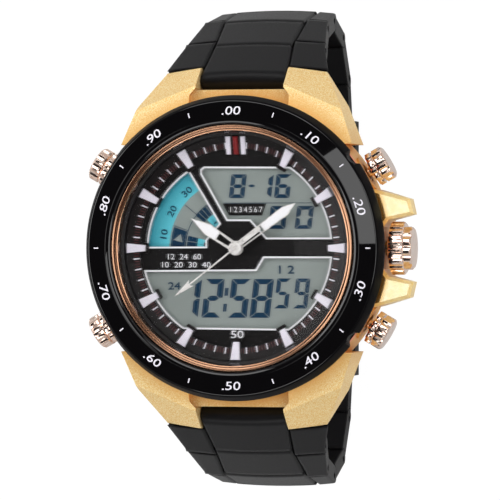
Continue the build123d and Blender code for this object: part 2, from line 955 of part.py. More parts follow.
def arbor(x=0, y=0):
    """A train arbor, held in the bridge below and the plate above."""
    return drum(arbor_radius, pivot_low, pivot_high, x, y)


def seconds_wheel():
    """The seconds wheel, its pinion and the long arbor that carries the seconds hand."""
    top = dial_top + second_hand_lift + hand_thickness / 2
    part = wheel(second_wheel_radius, second_level) + pinion(third_drive_radius, third_level)
    return part + drum(second_arbor_radius, pivot_low, top)


def third_wheel():
    """The third wheel and its pinion."""
    place = Pos(-train_distance, 0, 0)
    gears = wheel(third_wheel_radius, third_level) + pinion(centre_drive_radius, centre_level)
    return place * gears + arbor(-train_distance)


def centre_wheel():
    """The centre wheel, its cannon pinion and the tube that carries the minute hand."""
    top = dial_top + minute_hand_lift + hand_thickness
    gears = wheel(centre_wheel_radius, centre_level) + pinion(cannon_pinion_radius, cannon_level)
    gears += drum(cannon_radius, centre_level, top)
    return gears - drum(second_arbor_radius + fit_gap, 0, bezel_top)


def minute_wheel():
    """The motion-work wheel between the cannon pinion and the hour wheel."""
    place = Pos(0, motion_distance, 0)
    gears = wheel(minute_wheel_radius, cannon_level) + pinion(hour_drive_radius, hour_level)
    return place * gears + arbor(0, motion_distance)


def hour_wheel():
    """The hour wheel and the pipe that carries the hour hand."""
    top = dial_top + hour_hand_lift + hand_thickness
    gears = wheel(hour_wheel_radius, hour_level) + drum(hour_pipe_radius, hour_level, top)
    return gears - drum(cannon_radius + fit_gap, 0, bezel_top)


def intermediate_wheel():
    """The wheel between the step rotor and the seconds wheel."""
    place = Pos(intermediate_x, 0, 0)
    gears = wheel(intermediate_wheel_radius, third_level) + pinion(intermediate_drive_radius, second_level)
    return place * gears + arbor(intermediate_x)


def step_rotor():
    """The round magnet of the step motor on its pinion."""
    gears = Pos(rotor_x, rotor_y, 0) * pinion(rotor_pinion_radius, third_level)
    magnet = drum(rotor_radius, rotor_level, rotor_level + rotor_height, rotor_x, rotor_y)
    return gears + magnet + arbor(rotor_x, rotor_y)


def stator():
    """The soft iron stator that leads the coil's field round the rotor."""
    low = rotor_level + rotor_height / 2 - stator_thickness / 2
    high = low + stator_thickness
    hole = rotor_radius + stator_gap
    rim = hole + stator_rim
    body = drum(rim, low, high, rotor_x, rotor_y)
    half = coil_length / 2
    arm = stator_rim
    for side in (1, -1):
        end = rotor_x - side * (half + arm)
        outline = [
            (rotor_x - side * (hole / 2), rotor_y - hole),
            (rotor_x, rotor_y - rim),
            (end + side * 2 * arm, -coil_reach - arm),
            (end, -coil_reach - arm),
            (end, -coil_reach + arm),
        ]
        body += plan(outline, low, high)
    return body - drum(hole, low - overrun, high + overrun, rotor_x, rotor_y)


def coil():
    """The coil on its core, with the winding as a second solid."""
    half = coil_length / 2
    core_level = rotor_level + rotor_height / 2 - stator_thickness / 2 - coil_core_half
    end = half + stator_rim
    core = block(
        rotor_x - end,
        rotor_x + end,
        -coil_reach - coil_core_half,
        -coil_reach + coil_core_half,
        core_level - coil_core_half,
        core_level + coil_core_half,
    )
    start, stop = rotor_x - half + winding_margin, rotor_x + half - winding_margin
    winding = rod(coil_radius, start, stop, -coil_reach, core_level) - core
    return Compound(children=[core, winding])


def pillar_places():
    """Where the movement plate's three pillars stand."""
    places = []
    for angle in pillar_turns:
        turn = math.radians(angle)
        places.append((pillar_circle * math.cos(turn), pillar_circle * math.sin(turn)))
    return places


def movement_plate():
    """The main plate over the train, with three pillars and a rim that opens for the stem."""
    top = plate_level + plate_thickness
    plate = drum(movement_radius, plate_level, top)
    for x, y in pillar_places():
        plate += drum(pillar_radius, train_level, plate_level, x, y)
    rim = tube(movement_radius, movement_radius - plate_rim_width, bridge_level, plate_level)
    opening = lever_reach + overrun
    rim -= block(0, bezel_radius, -opening, opening, 0, bezel_top)
    plate += rim
    plate -= drum(hour_pipe_radius + fit_gap, 0, bezel_top)
    for x, y in train_places():
        plate -= drum(arbor_radius + fit_gap, 0, bezel_top, x, y)
    return plate


def train_places():
    """Where the arbors beside the centre stand."""
    return [
        (-train_distance, 0),
        (0, motion_distance),
        (intermediate_x, 0),
        (rotor_x, rotor_y),
    ]


def train_bridge():
    """The bridge under the train, with a hole for each arbor."""
    bridge = drum(bridge_radius, bridge_level, train_level)
    bridge -= drum(second_arbor_radius + fit_gap, 0, bezel_top)
    for x, y in train_places():
        bridge -= drum(arbor_radius + fit_gap, 0, bezel_top, x, y)
    return bridge


# Movement's other parts


def movement_ring():
    """The plastic ring that holds the movement in the case."""
    low = case_back_thickness + fit_gap
    ring = tube(dial_radius, ring_inner_radius, low, dial_level - fit_gap)
    ring -= rod(stem_radius + 4 * fit_gap, 0, bezel_radius, z=stem_level)
    for angle in pusher_angles.values():
        hole = rod(clip_radius + 4 * fit_gap, ring_inner_radius - overrun, bezel_radius, z=stem_level)
        ring -= facing(angle) * hole
    return ring


def circuit_board():
    """The circuit board, with the control chip, the quartz can and a capacitor under it."""
    board = drum(movement_radius - fit_gap, board_level, bridge_level)
    low = board_level - chip_height
    parts = [board]
    for x, y, size in ((chip_x, chip_y, chip_size), (capacitor_x, capacitor_y, capacitor_size)):
        half = size / 2
        parts.append(block(x - half, x + half, y - half, y + half, low, board_level))
    can_level = board_level - quartz_can_radius
    parts.append(rod(quartz_can_radius, 0, quartz_can_length, quartz_can_y, can_level))
    return Compound(children=parts)


def coin_cell():
    """The coin cell, with its stepped rim."""
    top = board_level - stack_gap
    low = top - cell_thickness
    cell = drum(cell_radius - cell_step, low, low + cell_step, cell_x, cell_y)
    return cell + drum(cell_radius, low + cell_step, top, cell_x, cell_y)


def battery_clip():
    """The sprung strap that holds the cell up against the board."""
    low = board_level - stack_gap - cell_thickness - clip_strap_thickness - fit_gap
    half = clip_strap_width / 2
    reach = cell_radius + 4 * fit_gap
    outer = reach + clip_strap_thickness
    strap = block(cell_x - outer, cell_x + outer, cell_y - half, cell_y + half, low, board_level)
    inner = low + clip_strap_thickness
    strap -= block(cell_x - reach, cell_x + reach, cell_y - half, cell_y + half, inner, board_level)
    return strap


def buzzer():
    """The piezo disc stuck inside the case back."""
    top = case_back_thickness + buzzer_thickness
    return drum(buzzer_radius, case_back_thickness, top, buzzer_x, buzzer_y)


# Bracelet


def hinge_points():
    """The row hinges on the 12 side, as (Y, Z), from the spring bar down to the clasp."""
    points = [(bar_reach, bar_level)]
    for row, slope in enumerate(row_slopes):
        pitch = first_pitch if row == 0 else row_pitch
        turn = math.radians(slope)
        y, z = points[-1]
        points.append((y + pitch * math.cos(turn), z - pitch * math.sin(turn)))
    return points


def link_outline(outer_start, outer_end, inner_start, inner_end, pitch, inset):
    """A link's outline from above, steady past its two hinges and drawn in by inset."""
    near, far = -link_radius - overrun, pitch + link_radius + overrun
    outer_start, outer_end = outer_start - inset, outer_end - inset
    inner_start, inner_end = inner_start + inset, inner_end + inset
    outer = [(outer_start, near), (outer_start, 0), (outer_end, pitch), (outer_end, far)]
    inner = [(inner_end, far), (inner_end, pitch), (inner_start, 0), (inner_start, near)]
    return Polyline(*outer, *inner, close=True)


def tapered(*sizes):
    """A tapering bar for a link, with its long outer edges bevelled."""
    shoulder = link_radius - link_edge
    full = make_face(link_outline(*sizes, 0))
    narrow = make_face(link_outline(*sizes, link_edge))
    low = -link_radius - overrun
    bar = Pos(0, 0, low) * extrude(full, amount=shoulder - low)
    bevel = loft([Pos(0, 0, shoulder) * full, Pos(0, 0, link_radius) * narrow], ruled=True)
    return bar + bevel


def link_profile(pitch, knuckle_at_start, hollow_gap):
    """A link seen from the side: round about one hinge, hollowed about the other."""
    reach = 2 * band_halves[0]
    body = block(-reach, reach, 0, pitch, -link_radius, link_radius)
    round_at, hollow_at = (0, pitch) if knuckle_at_start else (pitch, 0)
    body += rod(link_radius, -reach, reach, round_at)
    return body - rod(link_radius + hollow_gap, -reach, reach, hollow_at)


def row(number):
    """One row, lying along +Y from its own hinge at the origin."""
    pitch = first_pitch if number == 0 else row_pitch
    start_centre, end_centre = centre_halves[number], centre_halves[number + 1]
    start_band, end_band = band_halves[number], band_halves[number + 1]
    near_radius = bar_radius if number == 0 else pin_radius
    middle = pitch / 2
    reach = 2 * band_halves[0]
    cross_bore = rod(pin_radius + press_gap, -reach, reach, middle)
    cross_half = (start_band + end_band) / 2 - pin_recess - link_edge
    outline = (start_centre, end_centre, -start_centre, -end_centre, pitch)
    centre = link_profile(pitch, True, link_gap) & tapered(*outline)
    centre -= cross_bore
    centre -= rod(near_radius + fit_gap, -reach, reach)
    outline = (start_band, end_band, start_centre + side_gap, end_centre + side_gap, pitch)
    near_gap = lug_link_gap if number == 0 else link_gap
    side = link_profile(pitch, False, near_gap) & tapered(*outline)
    side -= rod(pin_radius + press_gap, 0, cross_half, middle)
    side -= rod(pin_radius + press_gap, -reach, reach, pitch)
    cross_pin = rod(pin_radius, -cross_half + fit_gap, cross_half - fit_gap, middle)
    hinge_half = end_band - pin_recess
    hinge_pin = rod(pin_radius, -hinge_half, hinge_half, pitch)
    return [centre, side, side.mirror(Plane.YZ), cross_pin, hinge_pin]


def placed_row(number, side):
    """A row where it lies round the wrist, on the 12 side for 1 and the 6 side for -1."""
    y, z = hinge_points()[number]
    where = Pos(0, y, z) * Rot(-row_slopes[number], 0, 0)
    solids = [where * solid for solid in row(number)]
    if side < 0:
        solids = [solid.mirror(Plane.XZ) for solid in solids]
    return Compound(children=solids)


# Clasp


def clasp_height():
    """The height of the clasp's end hinges."""
    return hinge_points()[-1][1]


def clasp_reach():
    """How far the clasp's end hinges are from the middle."""
    return hinge_points()[-1][0]


def clasp_cover():
    """The outer cover: a channel with a knuckle at its 12 end and lugs for the outer blade."""
    z, reach = clasp_height(), clasp_reach()
    inner = band_halves[-1] + cover_side_gap
    outer = inner + cover_wall
    bottom = z - cover_plate_drop - cover_plate_thickness
    plate_top = z - cover_plate_drop
    plate_end = reach - link_radius - 2 * link_gap
    wall_end = reach + cover_wall_overhang
    wall_top = z + cover_wall_rise
    cover = block(-outer, outer, -wall_end, wall_end, bottom, wall_top)
    cover = chamfer(cover.faces().sort_by(Axis.Z)[0].edges(), cover_edge)
    cover -= block(-inner, inner, -wall_end, wall_end, plate_top, wall_top)
    for side in (1, -1):
        ends = sorted((side * plate_end, side * wall_end))
        cover -= block(-inner, inner, *ends, bottom, wall_top)
    half = centre_halves[-1]
    tongue_start = plate_end - tongue_length
    cover += block(-half, half, tongue_start, reach, plate_top - fit_gap, z + link_radius)
    cover += rod(link_radius, -half, half, reach, z)
    cover -= block(-half, half, plate_end, reach, bottom, z - link_radius)
    cover -= rod(pin_radius + fit_gap, -outer, outer, reach, z)
    axis = z - outer_hinge_drop
    radius = outer_knuckle_radius
    for side in (1, -1):
        ends = sorted((side * (outer_knuckle_half + blade_gap), side * blade_half))
        cover += block(*ends, -outer_hinge_reach - radius, -outer_hinge_reach + radius, plate_top, axis)
        cover += rod(radius, *ends, -outer_hinge_reach, axis)
    cover -= rod(clasp_pin_radius + press_gap, -blade_half, blade_half, -outer_hinge_reach, axis)
    pin = rod(clasp_pin_radius, -blade_half, blade_half, -outer_hinge_reach, axis)
    return Compound(children=[cover, pin])


def clasp_outer_blade():
    """The blade next to the cover, with a knuckle at each end and the inner blade's pin."""
    z = clasp_height()
    axis = z - outer_hinge_drop
    low, high = axis - blade_thickness / 2, axis + blade_thickness / 2
    start = -outer_hinge_reach + outer_knuckle_radius + blade_gap
    end = inner_hinge_reach - inner_knuckle_radius - blade_gap
    blade = block(-blade_half, blade_half, start, end, low, high)
    first = outer_knuckle_half
    blade += block(-first, first, -outer_hinge_reach, start, low, high)
    blade += rod(outer_knuckle_radius, -first, first, -outer_hinge_reach, axis)
    blade -= rod(clasp_pin_radius + fit_gap, -first, first, -outer_hinge_reach, axis)
    second = inner_knuckle_half
    height = z + inner_hinge_rise
    blade += block(-second, second, end, inner_hinge_reach, low, high)
    blade += rod(inner_knuckle_radius, -second, second, inner_hinge_reach, height)
    blade -= rod(clasp_pin_radius + press_gap, -second, second, inner_hinge_reach, height)
    pin = rod(clasp_pin_radius, -blade_half, blade_half, inner_hinge_reach, height)
    return Compound(children=[blade, pin])


def clasp_inner_blade():
    """The blade next to the wrist, with a hook behind the 6 side's last pin."""
    z, reach = clasp_height(), clasp_reach()
    height = z + inner_hinge_rise
    high = height + inner_knuckle_radius
    low = high - blade_thickness
    wide_end = reach - link_radius - 4 * link_gap
    start = inner_hinge_reach - inner_knuckle_radius - blade_gap
    blade = block(-blade_half, blade_half, -wide_end, start, low, high)
    for side in (1, -1):
        ends = sorted((side * (inner_knuckle_half + blade_gap), side * blade_half))
        blade += block(*ends, start, inner_hinge_reach, low, high)
        blade += rod(inner_knuckle_radius, *ends, inner_hinge_reach, height)
    blade -= rod(clasp_pin_radius + fit_gap, -blade_half, blade_half, inner_hinge_reach, height)
    half = blade_hook_half
    hook = rod(hook_radius, -half, half, -reach, z)
    hook += block(-half, half, -reach, -wide_end, z, high)
    hook -= block(-half, half, -reach - hook_radius, -reach, z - hook_radius, z + hook_radius)
    hook -= rod(pin_radius + hook_gap, -half, half, -reach, z)
    return blade + hook


# Every piece by its name

pieces = {
    "case_body": case_body(),
    "bezel": bezel(),
    "bezel_trim_ring": bezel_trim_ring(),
    "crystal": crystal(),
    "crystal_gasket": crystal_gasket(),
    "spring_bars": spring_bars(),
    "case_back": case_back(),
    "case_back_gasket": case_back_gasket(),
    "case_back_screws": case_back_screws(),
    "crown": crown(),
    "crown_stem": crown_stem(),
    "crown_gasket": crown_gasket(),
    "setting_lever": setting_lever(),
    "chapter_ring": chapter_ring(),
    "hour_markers": hour_markers(),
    "dial_plate": dial_plate(),
    "lcd_panel": lcd_panel(),
    "backlight_panel": backlight_panel(),
    "hour_hand": hour_hand(),
    "minute_hand": minute_hand(),
    "second_hand": second_hand(),
    "seconds_wheel": seconds_wheel(),
    "third_wheel": third_wheel(),
    "centre_wheel": centre_wheel(),
    "minute_wheel": minute_wheel(),
    "hour_wheel": hour_wheel(),
    "intermediate_wheel": intermediate_wheel(),
    "step_rotor": step_rotor(),
    "stator": stator(),
    "coil": coil(),
    "movement_plate": movement_plate(),
    "train_bridge": train_bridge(),
    "movement_ring": movement_ring(),
    "circuit_board": circuit_board(),
    "coin_cell": coin_cell(),
    "battery_clip": battery_clip(),
    "buzzer": buzzer(),
    "clasp_cover": clasp_cover(),
    "clasp_outer_blade": clasp_outer_blade(),
    "clasp_inner_blade": clasp_inner_blade(),
}
for name, angle in pusher_angles.items():
    pieces[name] = pusher(angle)
    pieces[name.replace("pusher", "spring")] = pusher_spring(angle)
for number in range(len(row_slopes)):
    pieces[f"links_12_side_{number + 1}"] = placed_row(number, 1)
    pieces[f"links_6_side_{number + 1}"] = placed_row(number, -1)

for name, shape in pieces.items():
    export_step(shape, f"parts/{name}.step")

for y, z in hinge_points():
    print("hinge at", round(y, 3), round(z, 3))
print("stem level", round(stem_level, 3))
print("rotor at", round(rotor_x, 4), round(rotor_y, 4))
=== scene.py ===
import math

import bmesh
import bpy
from mathutils import Matrix, Vector


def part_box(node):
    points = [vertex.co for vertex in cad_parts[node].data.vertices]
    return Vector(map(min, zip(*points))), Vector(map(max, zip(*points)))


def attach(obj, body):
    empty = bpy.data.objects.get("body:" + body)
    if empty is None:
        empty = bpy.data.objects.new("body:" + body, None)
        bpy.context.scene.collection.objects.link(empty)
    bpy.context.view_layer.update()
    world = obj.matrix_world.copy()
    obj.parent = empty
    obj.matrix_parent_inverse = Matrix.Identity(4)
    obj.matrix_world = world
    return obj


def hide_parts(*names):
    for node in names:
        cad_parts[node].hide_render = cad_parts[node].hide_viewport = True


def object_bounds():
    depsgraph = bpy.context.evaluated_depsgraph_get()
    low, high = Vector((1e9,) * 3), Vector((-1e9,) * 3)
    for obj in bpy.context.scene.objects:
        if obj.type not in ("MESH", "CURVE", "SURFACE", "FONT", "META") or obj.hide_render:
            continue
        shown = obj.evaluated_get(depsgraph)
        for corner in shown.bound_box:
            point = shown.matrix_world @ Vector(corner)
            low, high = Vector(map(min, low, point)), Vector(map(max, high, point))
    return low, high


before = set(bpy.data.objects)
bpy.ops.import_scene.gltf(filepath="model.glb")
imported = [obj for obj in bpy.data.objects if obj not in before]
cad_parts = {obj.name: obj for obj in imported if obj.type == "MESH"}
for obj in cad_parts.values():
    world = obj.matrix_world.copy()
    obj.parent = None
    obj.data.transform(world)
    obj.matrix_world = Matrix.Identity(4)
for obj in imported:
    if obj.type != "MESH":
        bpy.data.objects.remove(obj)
cad_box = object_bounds()

# Movement plates, train and motor
# Stamped and turned metal parts, hidden under the dial: nickel-plated brass plates, brass wheels
# on steel arbors, a soft iron stator and a copper coil. They are pressed and pinned together.

mm = 0.001


def linear(code):
    """A colour's linear values from its sRGB hex code."""
    channels = [int(code[i:i + 2], 16) / 255 for i in (0, 2, 4)]
    return [c / 12.92 if c <= 0.04045 else ((c + 0.055) / 1.055) ** 2.4 for c in channels] + [1.0]


def add(tree, kind, inputs=None, **settings):
    """Adds one node with its settings, values and links."""
    node = tree.nodes.new(kind)
    for name, value in settings.items():
        setattr(node, name, value)
    for key, value in (inputs or {}).items():
        if isinstance(value, bpy.types.NodeSocket):
            tree.links.new(value, node.inputs[key])
        else:
            node.inputs[key].default_value = value
    return node


def new_material(name):
    """An empty node material, with its tree and the object's own coordinates."""
    material = bpy.data.materials.new(name)
    material.use_nodes = True
    tree = material.node_tree
    tree.nodes.clear()
    return material, tree, add(tree, "ShaderNodeTexCoord").outputs["Object"]


def finished(tree, shader):
    """Ends a material's tree in its shader."""
    add(tree, "ShaderNodeOutputMaterial", {"Surface": shader.outputs[0]})


def grainy_metal(name, light, dark, grain, depth, roughness, metallic=1.0, specular=0.5,
                 stretch=(1, 1, 1), soft=0.0):
    """A metal whose grain varies its colour, gloss and height, with lengths in millimetres."""
    material, tree, place = new_material(name)
    place = add(tree, "ShaderNodeMapping", {"Vector": place, "Scale": stretch}).outputs[0]
    noise = add(tree, "ShaderNodeTexNoise", {"Vector": place, "Scale": 1 / (grain * mm), "Detail": 3.0})
    grain_level = noise.outputs["Fac"]
    ramp = add(tree, "ShaderNodeValToRGB", {"Fac": grain_level})
    ramp.color_ramp.elements[0].position, ramp.color_ramp.elements[1].position = 0.35, 0.65
    ramp.color_ramp.elements[0].color = linear(dark)
    ramp.color_ramp.elements[1].color = linear(light)
    gloss = add(tree, "ShaderNodeMapRange", {
        "Value": grain_level, "From Min": 0.3, "From Max": 0.7,
        "To Min": roughness * 0.8, "To Max": roughness * 1.2,
    })
    bump = add(tree, "ShaderNodeBump", {"Height": grain_level, "Strength": 1.0, "Distance": depth * mm})
    if soft:
        round_edge = add(tree, "ShaderNodeBevel", {"Radius": soft * mm}, samples=6)
        tree.links.new(round_edge.outputs[0], bump.inputs["Normal"])
    finished(tree, add(tree, "ShaderNodeBsdfPrincipled", {
        "Base Color": ramp.outputs["Color"], "Roughness": gloss.outputs["Result"], "Metallic": metallic,
        "Specular IOR Level": specular, "Normal": bump.outputs["Normal"],
    }))
    return material


def dress(material, *nodes):
    """Gives CAD pieces their material."""
    for node in nodes:
        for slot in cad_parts[node].material_slots:
            slot.material = material


# Nickel-plated brass, ground: pale and even with a fine straight grain
nickel_plate = grainy_metal("nickel_plated_brass_ground", "D9D3BE", "BDB69E", 0.3, 0.002, 0.3,
                            stretch=(1, 8, 1))
# Gilt brass, machined: warm yellow with faint cutter marks
gilt_brass = grainy_metal("gilt_brass_machined", "E0BC6A", "C79C48", 0.15, 0.002, 0.28)
# Soft iron, stamped and tinned: plain cool grey
tinned_iron = grainy_metal("soft_iron_stamped", "9A9A9C", "7C7C80", 0.2, 0.003, 0.4)
# Copper wire, enamelled and close wound: fine bright turns across the coil
copper_wire = grainy_metal("copper_wire_enamelled", "C8743C", "8A4420", 0.25, 0.01, 0.35,
                           stretch=(4, 0.2, 0.2))
dress(nickel_plate, "movement_plate", "train_bridge")
dress(gilt_brass, "seconds_wheel", "third_wheel", "centre_wheel", "minute_wheel", "hour_wheel",
      "intermediate_wheel", "buzzer")
dress(tinned_iron, "stator", "step_rotor")
dress(copper_wire, "coil")

# Board, cell and holder
# A green laminate board with its black parts, a nickel-plated coin cell under a sprung steel clip,
# and the white plastic ring that fills the space between the movement and the case.


def speckled(name, light, dark, grain, depth, roughness, specular=0.5):
    """A moulded or painted surface with a faint mottle, its grain in millimetres."""
    material, tree, place = new_material(name)
    noise = add(tree, "ShaderNodeTexNoise", {"Vector": place, "Scale": 1 / (grain * mm), "Detail": 2.0})
    grain_level = noise.outputs["Fac"]
    mix = add(tree, "ShaderNodeMix", {
        "Factor": grain_level, 6: linear(dark), 7: linear(light),
    }, data_type="RGBA")
    bump = add(tree, "ShaderNodeBump", {"Height": grain_level, "Strength": 1.0, "Distance": depth * mm})
    finished(tree, add(tree, "ShaderNodeBsdfPrincipled", {
        "Base Color": mix.outputs[2], "Roughness": roughness, "Specular IOR Level": specular,
        "Normal": bump.outputs["Normal"],
    }))
    return material


# Glass epoxy under green solder mask: satin, with the weave just showing
green_laminate = speckled("glass_epoxy_green_mask", "2E7A4C", "1E5C38", 0.4, 0.004, 0.35)
# Nickel-plated steel can, drawn: smooth and bright
nickel_can = grainy_metal("nickel_plated_steel_drawn", "DADADC", "BFBFC3", 0.5, 0.001, 0.22)
# Spring steel strip, rolled: grey with a straight grain
spring_steel = grainy_metal("spring_steel_rolled", "B4B4B6", "929296", 0.2, 0.002, 0.3, stretch=(1, 6, 1))
# Acetal, moulded: white and waxy
white_acetal = speckled("acetal_moulded_white", "EAEAE6", "DADAD4", 0.6, 0.004, 0.45)
# Nitrile rubber, moulded: matte black
nitrile = speckled("nitrile_rubber_moulded", "242426", "161618", 0.2, 0.006, 0.7)
dress(green_laminate, "circuit_board")
dress(nickel_can, "coin_cell")
dress(spring_steel, "battery_clip", "setting_lever", "spring_at_2", "spring_at_4", "spring_at_8",
      "spring_at_10")
dress(white_acetal, "movement_ring")
dress(nitrile, "crystal_gasket", "case_back_gasket", "crown_gasket")

# Display glass
# A liquid crystal cell with a grey polariser on it, laid on its backlight under the dial.
# Its lit segments show as dark blue digits, and here they are laid on it as a thin film.

lcd_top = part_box("lcd_panel")[1].z / mm
film = 0.02
print_level = lcd_top + 0.01
number_level = lcd_top + 0.03
digit_lean = 0.12


def piece_from(bm, name):
    """A piece at the origin, made of a finished mesh."""
    mesh = bpy.data.meshes.new(name)
    bm.to_mesh(mesh)
    bm.free()
    piece = bpy.data.objects.new(name, mesh)
    bpy.context.collection.objects.link(piece)
    return piece


def extruded(name, outlines, low, high):
    """A piece made of flat outlines in millimetres, raised between two heights."""
    bm = bmesh.new()
    for outline in outlines:
        rings = [[bm.verts.new((x * mm, y * mm, z * mm)) for x, y in outline] for z in (low, high)]
        bm.faces.new(reversed(rings[0]))
        bm.faces.new(rings[1])
        for i in range(len(outline)):
            j = (i + 1) % len(outline)
            bm.faces.new((rings[0][i], rings[0][j], rings[1][j], rings[1][i]))
    bmesh.ops.recalc_face_normals(bm, faces=bm.faces)
    return piece_from(bm, name)


def placed(piece, material, body="case", replaces=()):
    """Gives a piece its material, the slot of its finish, its body and the CAD nodes it stands for."""
    if material:
        piece.data.materials.clear()
        piece.data.materials.append(material)
    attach(piece, body)
    if replaces:
        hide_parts(*replaces)


def segment_digit(shown, left, bottom, width, height, upright, level):
    """The lit segments of a seven-segment digit, as leaning outlines with mitred ends."""
    lit = {
        "0": "abcdef", "1": "bc", "2": "abged", "5": "afgcd", "6": "afgedc", "8": "abcdefg", "9": "abcdfg",
    }
    gap, mid, half = 0.08, height / 2, level / 2
    inner = width - upright
    top = [(gap, height), (width - gap, height), (inner, height - level), (upright, height - level)]
    side = [(width, height - gap), (inner, height - level - gap), (inner, mid + half + gap),
            (width - upright / 2, mid + gap), (width, mid + gap)]
    bar = [(upright / 2 + gap, mid), (upright + gap, mid + half), (inner - gap, mid + half),
           (width - upright / 2 - gap, mid), (inner - gap, mid - half), (upright + gap, mid - half)]

    def flipped(points, across, upside):
        return [(width - x if across else x, height - y if upside else y) for x, y in points]

    shapes = {
        "a": top, "d": flipped(top, False, True), "b": side, "c": flipped(side, False, True),
        "f": flipped(side, True, False), "e": flipped(side, True, True), "g": bar,
    }
    return [[(left + x + y * digit_lean, bottom + y) for x, y in shapes[name]] for name in lit[shown]]


# The upper window's two rows, then the lower window's large and small digits
digits = []
for shown, left, bottom, width, height, upright, level in (
    ("8", -1.42, 8.2, 2.6, 3.9, 0.78, 0.62),
    ("1", 3.1, 8.2, 2.6, 3.9, 0.78, 0.62),
    ("6", 6.15, 8.2, 2.6, 3.9, 0.78, 0.62),
    ("5", 5.2, 3.15, 2.85, 3.75, 0.82, 0.62),
    ("0", 9.6, 3.15, 2.85, 3.75, 0.82, 0.62),
    ("1", -9.85, -11.4, 3.2, 6.35, 1.05, 0.85),
    ("2", -6.05, -11.4, 3.2, 6.35, 1.05, 0.85),
    ("5", -1.65, -11.4, 3.25, 6.35, 1.05, 0.85),
    ("8", 2.05, -11.4, 3.4, 6.35, 1.05, 0.85),
    ("5", 6.15, -9.85, 2.35, 4.9, 0.72, 0.58),
    ("9", 9.3, -9.85, 2.4, 4.9, 0.72, 0.58),
):
    digits += segment_digit(shown, left, bottom, width, height, upright, level)
# The colon's two dots, the dash and the line over the small digits
for x, y in ((-2.42, -10.4), (-2.14, -7.8)):
    digits.append([(x, y), (x + 0.58, y), (x + 0.72, y + 1.28), (x + 0.14, y + 1.28)])
digits.append([(1.85, 10.2), (2.2, 10.42), (2.7, 10.42), (3.05, 10.2), (2.7, 9.98), (2.2, 9.98)])
digits.append([(-2.3, 7.34), (14.0, 7.34), (14.0, 7.44), (-2.3, 7.44)])

# Polariser film over glass: flat grey-green with a satin face
polariser = speckled("polariser_film_grey", "919996", "88908D", 4.0, 0.0, 0.35, specular=0.15)
# Lit liquid crystal: deep blue, seen through the film
lit_crystal = speckled("liquid_crystal_blue", "17364F", "112F47", 1.5, 0.0, 0.35, specular=0.15)
# Backlight sheet: pale and even
backlight = speckled("backlight_sheet_pale", "DCE6E0", "CFDAD3", 1.0, 0.0, 0.5)
dress(polariser, "lcd_panel")
dress(backlight, "backlight_panel")
placed(extruded("display_digits", digits, print_level, print_level + film), lit_crystal)

# Fan display on the left
# The part of the display glass behind the fan window: a cyan band outside a grey field, with dark
# blue cells in rings about the hands and a small pointer mark. All are thin printed films.


def ray(radius, clock):
    """A point at a distance from the hands' axis, in a clock direction in degrees."""
    angle = math.radians(90 - clock)
    return (radius * math.cos(angle), radius * math.sin(angle))


def sector(inner, outer, first, last, steps=24):
    """An outline between two radii and two clock directions."""
    angles = [first + (last - first) * i / steps for i in range(steps + 1)]
    return [ray(outer, a) for a in angles] + [ray(inner, a) for a in reversed(angles)]


def reach_from_axis(tree, place):
    """How far a place is from the hands' axis."""
    flat = add(tree, "ShaderNodeVectorMath", {0: place, 1: (1, 1, 0)}, operation="MULTIPLY")
    return add(tree, "ShaderNodeVectorMath", {0: flat.outputs[0]}, operation="LENGTH").outputs["Value"]


cyan_bands = [sector(11.45, 15.3, 269, 330), sector(5.0, 6.7, 269, 284, 6), sector(5.0, 6.85, 312.5, 326, 6)]
fan_cells = []
cell_gap = 0.4
for inner, outer, first, last, count in (
    (8.85, 11.2, 271.0, 288.5, 1), (6.75, 8.45, 271.0, 284.5, 2), (6.95, 8.65, 307.0, 327.5, 4),
    (5.4, 5.65, 273.0, 280.0, 1), (5.4, 6.3, 274.8, 276.0, 1), (5.4, 5.65, 315.0, 322.0, 1),
    (5.4, 6.4, 317.6, 318.8, 1),
):
    step = (last - first) / count
    for i in range(count):
        start, end = first + i * step + cell_gap, first + (i + 1) * step - cell_gap
        fan_cells.append(sector(inner, outer, start, end, 6))
half_line = 0.3
for inner, outer, clock in ((8.7, 11.3, 309.0), (8.7, 11.35, 289.2)):
    fan_cells.append(sector(inner, outer, clock - half_line, clock + half_line, 1))
fan_cells.append(sector(8.66, 8.8, 270.6, 328.0))
pointer = [(-10.7, 1.35), (-9.5, 2.35), (-9.2, 0.95)]


def lettered(text, height, width_share, lean, where, weight=0.02):
    """A thin mesh of plain numerals of a height in millimetres, centred and set at a place."""
    curve = bpy.data.curves.new("numerals", "FONT")
    curve.body = text
    curve.size = mm
    curve.shear = lean
    curve.align_x = "CENTER"
    curve.extrude = 0.02 * mm
    curve.offset = weight * mm
    curve.resolution_u = 3
    holder = bpy.data.objects.new("numerals", curve)
    bpy.context.collection.objects.link(holder)
    graph = bpy.context.evaluated_depsgraph_get()
    mesh = bpy.data.meshes.new_from_object(holder.evaluated_get(graph))
    bpy.data.objects.remove(holder)
    heights = [vertex.co.y for vertex in mesh.vertices]
    low, high = min(heights), max(heights)
    size = height * mm / (high - low)
    centred = Matrix.Translation((0, -(high + low) / 2, 0))
    mesh.transform(Matrix.Diagonal((size * width_share, size, 1, 1)) @ centred)
    mesh.transform(where)
    return mesh


def joined(name, meshes):
    """One piece from several meshes."""
    bm = bmesh.new()
    for mesh in meshes:
        bm.from_mesh(mesh)
    return piece_from(bm, name)


def flat_number(text, height, width_share, x, y, level, weight=0.02):
    """Plain numerals lying flat at a place on the display or dial."""
    where = Matrix.Translation((x * mm, y * mm, level * mm))
    return lettered(text, height, width_share, 0.0, where, weight)


